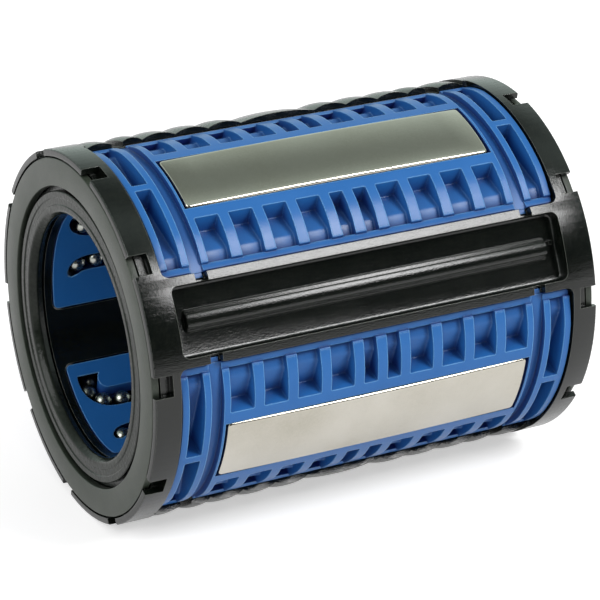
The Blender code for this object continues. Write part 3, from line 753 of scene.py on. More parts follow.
SEAL_RUBBER = Finish(
    name="black_seal_rubber", slot="seal_rubber",
    base=(0.0060, 0.0085, 0.0065), clouded=(0.0160, 0.0200, 0.0150), fleck=(0.060, 0.066, 0.054),
    edge=(0.16, 0.18, 0.16), painted_shade=(0.0005, 0.0008, 0.0007),
    fleck_scale=1500.0, fleck_amount=0.10, cloud_scale=240.0, roughness=(0.10, 0.22),
    edge_width=0.00014, painted_highlight_amount=0.35, painted_shade_amount=0.85, grain_height=0.00006, specular=0.18,
)
BLUE_ACETAL = Finish(
    name="blue_acetal", slot="cage_plastic",
    base=(0.0150, 0.1150, 0.3550), clouded=(0.0190, 0.1280, 0.3850), fleck=(0.028, 0.150, 0.440),
    edge=(0.190, 0.470, 0.800), painted_shade=(0.0100, 0.0140, 0.1200),
    fleck_scale=3800.0, fleck_amount=0.15, cloud_scale=110.0, roughness=(0.28, 0.38),
    edge_width=0.00028, painted_highlight_amount=0.90, painted_shade_amount=0.90, grain_height=0.00001, specular=0.34,
    hollow_depth=0.0028,
)
GROUND_STEEL = Finish(
    name="ground_bearing_steel", slot="plate_steel",
    base=(0.550, 0.525, 0.465), clouded=(0.410, 0.385, 0.320), fleck=(0.58, 0.55, 0.490),
    edge=(0.88, 0.88, 0.82), painted_shade=(0.12, 0.12, 0.11),
    fleck_scale=2400.0, fleck_amount=0.20, cloud_scale=55.0, roughness=(0.17, 0.25),
    edge_width=0.00012, painted_highlight_amount=0.5, painted_shade_amount=0.4, grain_height=0.000004, metallic=1.0,
)
BALL_STEEL = Finish(
    name="polished_ball_steel", slot="ball_steel",
    base=(0.40, 0.41, 0.38), clouded=(0.30, 0.31, 0.28), fleck=(0.46, 0.46, 0.43),
    edge=(0.80, 0.80, 0.80), painted_shade=(0.03, 0.035, 0.035),
    fleck_scale=900.0, fleck_amount=0.2, cloud_scale=260.0, roughness=(0.20, 0.34),
    edge_width=0.00005, painted_highlight_amount=0.0, painted_shade_amount=0.6, grain_height=0.0, metallic=1.0,
)


@dataclass
class Paintshop:
    """The materials of all finishes, each built when it is first asked for."""

    effects: EffectLibrary = field(default_factory=EffectLibrary)
    made: dict[str, bpy.types.Material] = field(default_factory=dict)

    def dress(self, piece: bpy.types.Object, finish: Finish) -> None:
        """Puts the finish on the whole piece.

        Args:
            piece: A new piece.
            finish: The finish that it gets.
        """
        if finish.name not in self.made:
            self.made[finish.name] = finish.material(self.effects)
        piece.data.materials.clear()
        piece.data.materials.append(self.made[finish.name])


@dataclass
class Assembly:
    """Common part of every sub-assembly: it places finished pieces on a body of the bearing."""

    shop: Paintshop

    def place(
        self, name: str, mesh: bpy.types.Mesh, finish: Finish, body: str, nodes: list[str]
    ) -> bpy.types.Object:
        """Puts one finished piece into the scene.

        Args:
            name: Name of the piece.
            mesh: Its mesh, in its place round the bearing axis.
            finish: The finish that it gets.
            body: The moving body that it rides on.
            nodes: The CAD nodes that it stands for.

        Returns:
            The new piece.
        """
        piece = bpy.data.objects.new(name, mesh)
        bpy.context.scene.collection.objects.link(piece)
        self.shop.dress(piece, finish)
        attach(piece, body)
        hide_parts(*nodes)
        return piece


@dataclass
class Sleeve(Assembly):
    """Moulded body: two end rings, joined by four webs that hold the segments between them."""

    steps: int = 144
    rim_wall: float = 0.0011
    rim_round: float = 0.0003
    rim_facets: int = 3
    washer_seat: float = 0.0385
    seal_seat: float = 0.0369
    seal_cavity: float = 0.025905
    window_low: float = 0.01854
    window_high: float = 0.039897
    web_ledge: float = 0.0014
    trough_depth: float = 0.0029
    trough_reach: float = 0.0348
    trough_corner: float = 0.0012
    trough_fillet: float = 0.0006
    fillet_facets: int = 4
    rib_height: float = 0.00135
    rib_end_gap: float = 0.0022
    rib_half: float = 0.00095
    rib_crown: float = 0.0028
    rib_flat_share: float = 0.2
    rib_edge_drop: float = 0.00028
    rib_shoulder: float = 0.00062
    rib_step_drop: float = 0.0001
    rib_widening: tuple[float, ...] = (0.0001, 0.00014, 0.00065, 0.00095)
    rib_root: float = 0.0003
    rib_end_round: float = 0.00040
    gate_mark_place: Point = (0.0011, 0.0008)
    gate_mark_radii: Span = (0.00045, 0.00038)
    gate_mark_height: float = 0.0008
    gate_mark_rise: float = 0.0001
    gate_mark_facets: int = 20
    lobe_height: float = 0.0007
    lobe_drop: float = 0.00005
    lobe_power: float = 2.2
    lobe_facets: int = 14
    side_overlap: float = 0.02
    strip_width: float = 0.0009
    strip_depth: float = 0.0013
    strip_reach: float = 0.0284
    lobe_edges: tuple[float, ...] = (0.00685, 0.01280, 0.01875, 0.02470, 0.02850)
    end_lobe: Span = (0.02990, 0.03500)
    notch_count: int = 10
    notch_width: float = 0.0035
    notch_depth: float = 0.0014
    notch_length: float = 0.0031
    first_notch: float = math.radians(29.6)
    slot_overlap: float = 0.0004
    tongue: Span = (0.021954, 0.024251)
    tongue_room: float = 0.0012
    tongue_end: float = 0.0023
    latch: Span = (0.0276, 0.0302)
    latch_room: float = 0.0011
    latch_half: float = 0.001

    @property
    def web_half(self) -> float:
        """Half the width of the recess in a web, between its two ledges."""
        return PLAN.outer * math.sin(math.pi / 4 - PLAN.half_arc) - PLAN.gap - self.web_ledge

    @property
    def web_arc(self) -> float:
        """Half the angle that a web covers."""
        return math.pi / 4 - PLAN.half_arc

    def blank(self) -> Mould:
        """Turns the blank, with both end seats and rounded rims.

        Returns:
            The closed ring.
        """
        rim = PLAN.outer - self.rim_wall
        half = [
            (rim, PLAN.half_length), (rim, self.washer_seat), (self.seal_cavity, self.washer_seat),
            (self.seal_cavity, self.seal_seat), (PLAN.bore, self.seal_seat),
        ]
        profile = [(PLAN.outer, PLAN.half_length), (PLAN.outer, -PLAN.half_length)]
        profile += [(radius, -along) for radius, along in half] + half[::-1]

        def rim_edge(edge: bmesh.types.BMEdge) -> bool:
            """Whether the edge is on the outer rim of an end face."""
            return all(
                abs(vert.co.x) > PLAN.half_length - TOUCH and vert.co.yz.length > PLAN.outer - 10 * TOUCH
                for vert in edge.verts
            )

        return Mould.turned(profile, self.steps).rounded(self.rim_round, self.rim_facets, rim_edge)

    def window(self) -> Mould:
        """Shapes the cutter for the opening of one segment, with rounded corners.

        Returns:
            The closed cutter.
        """
        right = [PLAN.side_point(radius, PLAN.gap) for radius in (self.window_low, self.window_high)]
        reach = PLAN.segment_half + PLAN.gap

        def corner(edge: bmesh.types.BMEdge) -> bool:
            """Whether the edge stands in a corner of the opening."""
            first, second = (vert.co for vert in edge.verts)
            return not along_x(edge) and first.y * second.y > 0

        shape = Mould.prism(right + flipped(right), -reach, reach)
        return shape.rounded(PLAN.corner, PLAN.corner_facets, corner)

    def side_slots(self, heights: Span, room: float, middle: float, reach: float) -> Mould:
        """Cutters for what a segment's tongues or latches reach into, on both of its sides."""
        right, left = side_blocks(heights, self.slot_overlap, room, middle, reach)
        return right.joined(left)

    def notches(self) -> Mould:
        """Shapes the cutters for the notches round both rims.

        Returns:
            One shape of all cutters.
        """
        half, low = self.notch_width / 2, PLAN.outer - self.notch_depth
        outline = [(-half, low), (half, low), (half, PLAN.beyond), (-half, PLAN.beyond)]
        start, end = PLAN.half_length - self.notch_length, PLAN.half_length + PLAN.overrun
        both = Mould.prism(outline, start, end).joined(Mould.prism(outline, -end, -start))
        first, step = self.first_notch - math.pi / 2, math.tau / self.notch_count
        return both.copied(turns([first + place * step for place in range(self.notch_count)]))

    def trough(self) -> Mould:
        """Shapes the cutter for the long recess of a web, rounded in plan and at its foot.

        Returns:
            The closed cutter.
        """
        floor, wall, reach = PLAN.outer - self.trough_depth, self.web_half, self.trough_reach
        outline = [(-wall, floor), (wall, floor), (wall, PLAN.beyond), (-wall, PLAN.beyond)]

        def standing(edge: bmesh.types.BMEdge) -> bool:
            """Whether the edge stands upright at an end."""
            first, second = (vert.co for vert in edge.verts)
            return abs(first.z - second.z) > MOSTLY * (first - second).length

        def foot(edge: bmesh.types.BMEdge) -> bool:
            """Whether the edge lies along the floor's outline."""
            return all(abs(vert.co.z - floor) < TOUCH for vert in edge.verts)

        shape = Mould.prism(outline, -reach, reach)
        shape.rounded(self.trough_corner, PLAN.corner_facets, standing)
        return shape.rounded(self.trough_fillet, self.fillet_facets, foot)

    def rib(self) -> Mould:
        """Shapes the stepped rib along the middle of a trough, with rounded ends.

        Returns:
            The closed rib, with its root sunk in the floor.
        """
        floor = PLAN.outer - self.trough_depth
        crest, reach = floor + self.rib_height, self.trough_reach - self.rib_end_gap
        shoulder = crest - self.rib_shoulder
        sweep = math.asin(self.rib_half / self.rib_crown)
        crown = arc(self.rib_crown, self.rib_flat_share * sweep, sweep, 4)
        right = [(across, crest - self.rib_crown + up) for across, up in crown]
        step = shoulder - self.rib_step_drop
        heights = (crest - self.rib_edge_drop, shoulder, step, floor - self.rib_root)
        right += [(self.rib_half + wider, height) for wider, height in zip(self.rib_widening, heights)]

        def end_edge(edge: bmesh.types.BMEdge) -> bool:
            """Whether the edge goes round an end of the rib, above its foot."""
            return not along_x(edge) and any(vert.co.z > floor for vert in edge.verts)

        shape = Mould.prism(flipped(right) + right, -reach, reach)
        return shape.rounded(self.rib_end_round, self.fillet_facets, end_edge)

    def gate_mark(self) -> Mould:
        """Shapes the little gate mark beside the right end of a rib.

        Returns:
            The closed boss.
        """
        shape = Mould()
        inset, across = self.gate_mark_place
        level = PLAN.outer - self.trough_depth + self.gate_mark_rise
        low, high = self.gate_mark_radii
        place = Matrix.Translation((self.trough_reach - inset, across, level))
        bmesh.ops.create_cone(
            shape.work, cap_ends=True, segments=self.gate_mark_facets, radius1=low, radius2=high,
            depth=self.gate_mark_height, matrix=place,
        )
        return shape

    def lobes(self, edges: list[float]) -> Mould:
        """Shapes the cutter that leaves a row of low lobes over the whole width of a web.

        Args:
            edges: X of the valleys before, between and after the lobes.

        Returns:
            The closed cutter.
        """
        valley, share = PLAN.outer - self.lobe_drop - self.lobe_height, self.lobe_facets
        profile = [(PLAN.beyond, edges[-1]), (PLAN.beyond, edges[0])]
        for start, end in zip(edges, edges[1:]):
            for step in range(share):
                rise = self.lobe_height * (1 - abs(2 * step / share - 1) ** self.lobe_power)
                profile.append((valley + rise, start + step / share * (end - start)))
        profile.append((valley, edges[-1]))
        half_sweep = self.web_arc + self.side_overlap
        return Mould.turned(profile, share, -half_sweep, 2 * half_sweep)

    def side_strips(self) -> Mould:
        """Shapes the cutters for the low strips along both sides of a lobed web.

        Returns:
            One shape of both cutters.
        """
        floor, reach = PLAN.outer - self.strip_depth, self.strip_reach
        inner, outer = self.web_arc - self.strip_width / PLAN.outer, self.web_arc + self.side_overlap
        top = PLAN.beyond
        right = [polar(floor, inner), polar(floor, outer), polar(top, outer), polar(top, inner)]
        return Mould.prism(right, -reach, reach).joined(Mould.prism(flipped(right), -reach, reach))

    def build(self) -> list[bpy.types.Object]:
        """Cuts the sleeve from its blank.

        Returns:
            The sleeve.
        """
        segments = turns([PLAN.segment_turn(number) for number in (1, 2, 3, 4)])
        webs = [Matrix.Rotation(math.pi / 4, 4, "X") @ turn for turn in segments]
        lobed, plain = webs[0::2], webs[1::2]
        bench = Bench(self.blank())
        bench.cut(self.window().copied(segments))
        tongue_reach = PLAN.segment_half - self.tongue_end
        bench.cut(self.side_slots(self.tongue, self.tongue_room, 0.0, tongue_reach).copied(segments))
        for end in End:
            bench.cut(ring_groove(end, self.steps))
            middle = end.value * PLAN.groove_middle
            bench.cut(self.side_slots(self.latch, self.latch_room, middle, self.latch_half).copied(segments))
        bench.cut(self.notches())
        bench.cut(self.trough().copied(plain))
        bench.cut(self.rib().copied(plain), Cut.ADD)
        bench.cut(self.gate_mark().copied(plain), Cut.ADD)
        middle_row = [-along for along in reversed(self.lobe_edges)] + list(self.lobe_edges)
        left_row, right_row = [-along for along in reversed(self.end_lobe)], list(self.end_lobe)
        for valleys in (middle_row, left_row, right_row):
            bench.cut(self.lobes(valleys).copied(lobed))
        bench.cut(self.side_strips().copied(lobed))
        mesh = bench.finished("sleeve_moulding")
        return [self.place("sleeve_moulding", mesh, SLEEVE_PLASTIC, "housing", ["sleeve"])]


@dataclass
class EndFitting(Assembly):
    """Washer and shaft seal at one end.

    The seal's three profiles are offsets: from the tip of the lip, from the hole's edge at
    the face, and from the collar's edge at the face.
    """

    end: End = End.LEFT
    steps: int = 144
    washer_outer: float = 0.0296
    washer_hole: float = 0.025005
    washer_thickness: float = 0.0012
    washer_round: float = 0.00018
    washer_facets: int = 3
    collar: float = 0.024105
    flange: float = 0.025605
    flange_top: float = 0.0385
    seal_base: float = 0.0372
    seal_face: float = 0.0396
    seal_hole: float = 0.020704
    lip: float = 0.02005
    lip_profile: tuple[Point, ...] = (
        (0.00012, -0.00028), (0.0, -0.00008), (0.0, 0.00008), (0.00016, 0.00036),
    )
    bead_profile: tuple[Point, ...] = (
        (-0.00010, -0.00022), (0.00010, -0.00004), (0.00045, 0.0), (0.00105, -0.00002), (0.00120, -0.00016),
    )
    collar_profile: tuple[Point, ...] = (
        (-0.00120, -0.00016), (-0.00105, 0.0), (-0.00015, 0.0), (0.0, -0.00015),
    )
    seal_sharp: float = math.radians(40)
    nub_halves: Span = (0.0005, 0.0004)
    nub_root: float = 0.0004
    nub_gap: float = 0.0001
    nub_sunk: float = 0.0002
    nub_angles: tuple[float, ...] = (20.7, -42.9, 137.1, -159.3)

    def _ring(self, profile: list[Point]) -> Mould:
        """Turns a ring drawn at the right end, or its mirror image at the left end."""
        return Mould.turned([(radius, along * self.end.value) for radius, along in profile], self.steps)

    def washer(self) -> Mould:
        """Turns the flat washer, with its face's edges softly rounded.

        Returns:
            The closed ring.
        """
        face, back = PLAN.half_length, PLAN.half_length - self.washer_thickness
        outer, hole = self.washer_outer, self.washer_hole

        def face_edge(edge: bmesh.types.BMEdge) -> bool:
            """Whether the edge goes round the washer's outer face."""
            on_face = all(abs(vert.co.x) > face - TOUCH for vert in edge.verts)
            return on_face and any(abs(near.normal.x) < FACING for near in edge.link_faces)

        shape = self._ring([(outer, face), (outer, back), (hole, back), (hole, face)])
        return shape.rounded(self.washer_round, self.washer_facets, face_edge)

    def seal(self) -> Mould:
        """Turns the seal: a carrier ring with a raised inner bead, and a lip towards the shaft.

        Returns:
            The closed ring.
        """
        face, base = self.seal_face, self.seal_base
        profile = [(self.collar, self.flange_top), (self.flange, self.flange_top)]
        profile += [(self.flange, base), (self.seal_hole, base)]
        profile += shifted(self.lip_profile, self.lip, (face + base) / 2)
        profile += shifted(self.bead_profile, self.seal_hole, face)
        profile += shifted(self.collar_profile, self.collar, face)
        return self._ring(profile)

    def nubs(self) -> Mould:
        """Shapes the short bridges that centre the seal in the washer.

        Returns:
            One shape of all bridges.
        """
        root, tip = self.nub_halves
        low, high = self.collar - self.nub_root, self.washer_hole - self.nub_gap
        outline = [(-root, low), (root, low), (tip, high), (-tip, high)]
        ends = (self.flange_top - self.nub_sunk, self.seal_face - self.nub_sunk)
        near, far = sorted(self.end.value * along for along in ends)
        angles = [math.radians(angle) - math.pi / 2 for angle in self.nub_angles]
        return Mould.prism(outline, near, far).copied(turns(angles))

    def build(self) -> list[bpy.types.Object]:
        """Makes both rings.

        Returns:
            The washer and the seal.
        """
        label = self.end.label
        washer = smoothed(self.washer().mesh(f"washer_{label}"))
        seal = Bench(self.seal()).cut(self.nubs(), Cut.ADD).finished(f"seal_{label}", self.seal_sharp)
        return [
            self.place(f"washer_{label}", washer, WASHER_PLASTIC, "housing", [f"end_washer_{label}"]),
            self.place(f"seal_{label}", seal, SEAL_RUBBER, "housing", [f"shaft_seal_{label}"]),
        ]


@dataclass
class SegmentShapes:
    """The moulded and ground shapes that all four segments share, drawn with the crown at the top.

    The lip's curve is a list of distances in from the side plane and down from the lip's top.
    """

    steps: int = 26
    cage_radius: float = 0.03065
    lip_radius: float = 0.0300
    lip_start: float = 0.01445
    lip_height: float = 0.02593
    lip_curve: tuple[Point, ...] = (
        (0.00034, 0.00011), (0.00017, 0.0001), (0.00005, 0.00017), (-0.0001, 0.00036),
    )
    rib_end_round: float = 0.00025
    rib_level_end: float = 0.00996
    rib_fall: float = 0.0007
    rib_fall_power: float = 1.6
    edge_round: float = 0.00022
    edge_facets: int = 3
    corner_slack: float = 0.01
    channel_cover: float = 0.0032
    channel_facets: int = 8
    channel_steps: int = 12
    pocket_start: float = 0.0078
    pocket_floor: float = 0.02647
    pocket_flat_end: float = 0.0120
    pocket_outer: float = 0.01428
    pocket_foot: float = 0.0246
    pocket_fall: float = 1.3
    pocket_shares: tuple[float, ...] = (0.0, 0.12, 0.28, 0.46, 0.64, 0.82, 1.0)
    pocket_sill: float = 0.00004
    pocket_rib: float = 0.0012
    centre_pocket: float = 0.0030
    pocket_count: int = 4
    pocket_draft: float = 0.075
    pocket_corner: float = 0.00022
    end_pocket_wall: float = 0.0009
    end_divider: float = 0.0013
    plate_width: float = 0.0115
    plate_flare: float = 0.0005
    plate_crown: float = 0.00028
    plate_crown_low: float = 0.0285
    plate_round: float = 0.0004
    plate_round_facets: int = 4
    plate_corner: float = 0.0009
    plate_corner_facets: int = 5
    plate_facets: int = 16
    plate_stations: int = 6
    plate_gap: float = 0.00008
    plate_end_gap: float = 0.00045
    plate_overrun: float = 0.0017
    track_rise: float = 0.674
    track_facets: int = 10
    groove_facets: int = 30
    groove_overlap: float = 0.1
    latch: Span = (0.0280, 0.0294)
    latch_reach: float = 0.0008
    latch_half: float = 0.00085
    tongue: Span = (0.022404, 0.023801)
    tongue_root: float = 0.00045
    tongue_reach: float = 0.0009
    ball_subdivisions: int = 2

    def crest(self, across: float) -> float:
        """Works out the cage's top, whose ribs fall off to the lips.

        Args:
            across: Distance from the cage's middle.

        Returns:
            Height of the top there.
        """
        share = (abs(across) - self.rib_level_end) / (self.lip_start - self.rib_level_end)
        fall = self.rib_fall * min(max(share, 0.0), 1.0) ** self.rib_fall_power
        return math.sqrt(self.cage_radius**2 - across**2) - fall

    def blank(self, outline: list[Point]) -> Mould:
        """Makes a segment's blank, with rounded corners.

        Args:
            outline: Its cross-section.

        Returns:
            The outline carried over the segment's length.
        """
        reach = PLAN.segment_half

        def corner(edge: bmesh.types.BMEdge) -> bool:
            """Whether the edge stands radially at one of the four corners.

            Args:
                edge: An edge of the blank.

            Returns:
                True for such an edge.
            """
            first, second = (vert.co for vert in edge.verts)
            rise = abs(first.yz.length - second.yz.length)
            radial = rise > MOSTLY * (first - second).length
            outside = abs(abs(math.atan2(first.y, first.z)) - PLAN.half_arc) < self.corner_slack
            return not along_x(edge) and first.y * second.y > 0 and radial and outside

        return Mould.prism(outline, -reach, reach).rounded(PLAN.corner, PLAN.corner_facets, corner)

    def channel_ring(self, side: int, crown: int) -> Mould:
        """Shapes the cutter for one ball channel: a section swept round the closed path.

        Args:
            side: 1 for the circuit at +Y, -1 for the other.
            crown: 1 where the section is round on top, as in the cage, -1 where it is round below.

        Returns:
            The closed ring.
        """
        half, far = PLAN.channel, -crown * self.channel_cover
        angles = [math.pi * step / self.channel_facets for step in range(self.channel_facets + 1)]
        round_side = [(half * math.cos(angle), crown * half * math.sin(angle)) for angle in angles]
        profile = [(half, far)] + round_side + [(-half, far)]
        shape = Mould()
        work = shape.work
        radius, centre = PLAN.turn_radius, PLAN.turn_centre
        verts = [work.verts.new((-centre, -radius + across, up)) for across, up in profile]
        ring = [work.edges.new((verts[place - 1], verts[place])) for place in range(len(verts))]
        for end in (1, -1):
            run = bmesh.ops.extrude_edge_only(work, edges=ring)["geom"]
            moved = [item for item in run if isinstance(item, bmesh.types.BMVert)]
            bmesh.ops.translate(work, vec=(end * 2 * centre, 0.0, 0.0), verts=moved)
            ring = [item for item in run if isinstance(item, bmesh.types.BMEdge)]
            ring = [edge for edge in ring if all(vert in moved for vert in edge.verts)]
            spun = bmesh.ops.spin(
                work, geom=ring, cent=(end * centre, 0.0, 0.0), axis=(0.0, 0.0, 1.0),
                angle=math.pi, steps=self.channel_steps, use_duplicate=False,
            )
            ring = [item for item in spun["geom_last"] if isinstance(item, bmesh.types.BMEdge)]
        return shape.moved(PLAN.path_matrix(side)).righted()

    def pocket(self, inner: float, start: float, end: float) -> Mould:
        """Shapes the cutter for one pocket at +Y: drafted walls and a floor that falls off outwards.

        Args:
            inner: Distance of its inner wall from the segment's middle.
            start: X of its left wall.
            end: X of its right wall.

        Returns:
            The closed cutter.
        """
        run, drop = self.pocket_outer - self.pocket_flat_end, self.pocket_floor - self.pocket_foot
        bend = [
            (self.pocket_flat_end + share * run, self.pocket_floor - share**self.pocket_fall * drop)
            for share in self.pocket_shares
        ]
        clear = self.lip_start + self.rib_end_round
        outline = [(inner, PLAN.beyond), (inner, self.pocket_floor)] + bend
        outline += [(self.pocket_outer, self.lip_height + self.pocket_sill)]
        outline += [(clear, self.lip_height), (clear, PLAN.beyond)]
        shape = Mould.prism(outline, start, end)

        def corner(edge: bmesh.types.BMEdge) -> bool:
            """Whether the edge stands at the pocket's inner wall, or lies round its floor.

            Args:
                edge: An edge of the cutter.

            Returns:
                True for such an edge.
            """
            high = [vert.co.z > PLAN.beyond - TOUCH for vert in edge.verts]
            inside = [abs(vert.co.y - inner) < TOUCH for vert in edge.verts]
            outside = [vert.co.y > self.pocket_outer + TOUCH for vert in edge.verts]
            if all(inside) and any(high) and not all(high):
                return True
            return not any(high) and not any(outside) and (not along_x(edge) or all(inside))

        shape.rounded(self.pocket_corner, self.edge_facets, corner)
        middle = (start + end) / 2
        for vert in shape.work.verts:
            lean = self.pocket_draft * (self.cage_radius - vert.co.z)
            vert.co.x -= math.copysign(min(lean, abs(end - start) / 4), vert.co.x - middle)
        return shape

    def pockets(self) -> Mould:
        """Shapes the cutters for every pocket of a segment.

        Returns:
            One shape of all cutters.
        """
        rib, centre_end = self.pocket_rib, self.pocket_rib / 2 + self.centre_pocket
        start = centre_end + rib
        pitch = (PLAN.plate_half - start + rib) / self.pocket_count
        shape = Mould()
        shape.joined(self.pocket(self.pocket_start, rib / 2, centre_end))
        for place in range(self.pocket_count):
            low, high = start + place * pitch, start + (place + 1) * pitch - rib
            shape.joined(self.pocket(self.pocket_start, low, high))
        low, high = PLAN.groove_outer + PLAN.groove_rib, PLAN.segment_half - self.end_pocket_wall
        shape.joined(self.pocket(self.end_divider / 2, low, high))
        quarters = [Matrix.Diagonal((along, across, 1.0, 1.0)) for along in (1, -1) for across in (1, -1)]
        return shape.copied(quarters)

    def plate_window(self) -> Mould:
        """Shapes the cutter for the opening that a load plate fills.

        Returns:
            The closed cutter.
        """
        foot = (self.plate_width / 2 + self.plate_flare + self.plate_gap, PLAN.plate_underside)
        head = (self.plate_width / 2 + self.plate_gap, PLAN.outer)
        lean = (foot[0] - head[0]) / (head[1] - foot[1])
        right = [
            (head[0] - lean * (PLAN.beyond - head[1]), PLAN.beyond),
            (foot[0] + lean * self.plate_overrun, foot[1] - self.plate_overrun),
        ]
        reach = PLAN.plate_half + self.plate_end_gap
        return Mould.prism(right + flipped(right), -reach, reach)

    def cage_blank(self) -> Mould:
        """Makes the cage's blank, with the ribs' fall at its top and the parting line below.

        Returns:
            The closed blank, with rounded top edges.
        """
        under = PLAN.split_line(PLAN.gap)
        edge = PLAN.side_point(self.cage_radius - self.rib_fall)
        inner = arc(self.cage_radius, -PLAN.half_arc, PLAN.half_arc, self.steps)[1:-1]
        top = flipped([edge]) + [(across, self.crest(across)) for across, _ in inner] + [edge]
        outline = top + under + [(0.0, PLAN.plate_underside)] + flipped(under)
        return self.blank(outline).rounded(self.edge_round, self.edge_facets, self._top_edge)

    def cage(self) -> bpy.types.Mesh:
        """Cuts the outer cage, with its pockets, ring grooves, latches and ball channels.

        Returns:
            The finished mesh.
        """
        bench = Bench(self.cage_blank())
        bench.cut(self.lip_drop())
        bench.cut(self.plate_window())
        bench.cut(self.pockets())
        half_sweep = PLAN.half_arc + self.groove_overlap
        for end in End:
            bench.cut(ring_groove(end, self.groove_facets, -half_sweep, 2 * half_sweep))
            middle = end.value * PLAN.groove_middle
            reach = self.latch_reach
            for latch in side_blocks(self.latch, reach, reach, middle, self.latch_half):
                bench.cut(latch, Cut.ADD)
        for side in (1, -1):
            bench.cut(self.channel_ring(side, 1))
        return bench.finished("outer_cage")

    def _top_edge(self, edge: bmesh.types.BMEdge) -> bool:
        """Whether the edge goes round the top of the cage's blank."""
        rims = [near.normal.z > FACING for near in edge.link_faces]
        return len(rims) == 2 and rims[0] != rims[1]

    def lip_drop(self) -> Mould:
        """Shapes the cutters that round the ribs' ends and leave the lower lips along both sides.

        Returns:
            One shape of both cutters.
        """
        lip = [PLAN.side_point(self.lip_radius - drop, -across) for across, drop in self.lip_curve]
        end_round = self.rib_end_round
        start = self.lip_start - end_round
        top = self.crest(start) - end_round
        rib_end = [(start + across, top + up) for across, up in arc(end_round, 0.0, math.pi / 2, 4)]
        last, low = lip[-1]
        clear = last + 2 * PLAN.overrun
        outline = [(start, PLAN.beyond)] + rib_end + [(self.lip_start, self.lip_height)] + lip
        outline += [(clear, low), (clear, PLAN.beyond)]
        reach = PLAN.segment_half + PLAN.overrun
        return Mould.prism(outline, -reach, reach).joined(Mould.prism(flipped(outline), -reach, reach))

    def retainer(self) -> bpy.types.Mesh:
        """Cuts the ball retainer, with its tongues, half channels and load slots.

        Returns:
            The finished mesh.
        """
        side = PLAN.split_line(0.0)
        inner = arc(PLAN.bore, -PLAN.half_arc, PLAN.half_arc, self.steps)
        outline = inner + side + [(0.0, PLAN.plate_underside - PLAN.gap)] + flipped(side)
        bench = Bench(self.blank(outline))
        reach = PLAN.segment_half - 2 * PLAN.corner
        for tongue in side_blocks(self.tongue, self.tongue_root, self.tongue_reach, 0.0, reach):
            bench.cut(tongue, Cut.ADD)
        for hand in (1, -1):
            bench.cut(self.channel_ring(hand, -1))
        return bench.finished("ball_retainer")

    def plate(self) -> bpy.types.Mesh:
        """Makes the ground load plate: crowned along its length, with two ball tracks.

        Returns:
            The finished mesh.
        """
        half, reach = self.plate_width / 2, PLAN.plate_half
        opening = math.acos(self.track_rise * BALL_RADIUS / PLAN.channel)
        round_top = arc(PLAN.channel, -opening, opening, self.track_facets)
        track = shifted(round_top, PLAN.load_u, PLAN.load_v)
        edge_angle = math.asin(half / PLAN.outer)
        right = track + [(half + self.plate_flare, PLAN.plate_underside)]
        outline = right + arc(PLAN.outer, edge_angle, -edge_angle, self.plate_facets) + flipped(right)
        shape = Mould.prism(outline, -reach, reach)

        def corner(edge: bmesh.types.BMEdge) -> bool:
            """Whether the edge stands at a corner of the plate."""
            return not along_x(edge) and all(abs(vert.co.y) > half - 10 * TOUCH for vert in edge.verts)

        def rim(edge: bmesh.types.BMEdge) -> bool:
            """Whether the edge goes round the top face.

            Args:
                edge: An edge of the plate.

            Returns:
                True for such an edge.
            """
            up = [near.normal.z > MOSTLY for near in edge.link_faces]
            high = all(vert.co.z > self.plate_crown_low for vert in edge.verts)
            return high and len(up) == 2 and up[0] != up[1]

        shape.rounded(self.plate_corner, self.plate_corner_facets, corner).righted()
        shape.rounded(self.plate_round, self.plate_round_facets, rim).righted()
        count = self.plate_stations
        shape.sliced([reach * share / count for share in range(1 - count, count)])
        for vert in shape.work.verts:
            if vert.co.z > self.plate_crown_low:
                vert.co.z -= self.plate_crown * (vert.co.x / reach) ** 2
        return smoothed(shape.mesh("load_plate"))

    def balls(self, places: list[Vector]) -> bpy.types.Mesh:
        """Makes a set of balls.

        Args:
            places: Where their middles are.

        Returns:
            One mesh of all balls.
        """
        shape = Mould()
        bmesh.ops.create_icosphere(shape.work, subdivisions=self.ball_subdivisions, radius=BALL_RADIUS)
        mesh = shape.copied([Matrix.Translation(place) for place in places]).mesh("balls")
        mesh.shade_smooth()
        return mesh


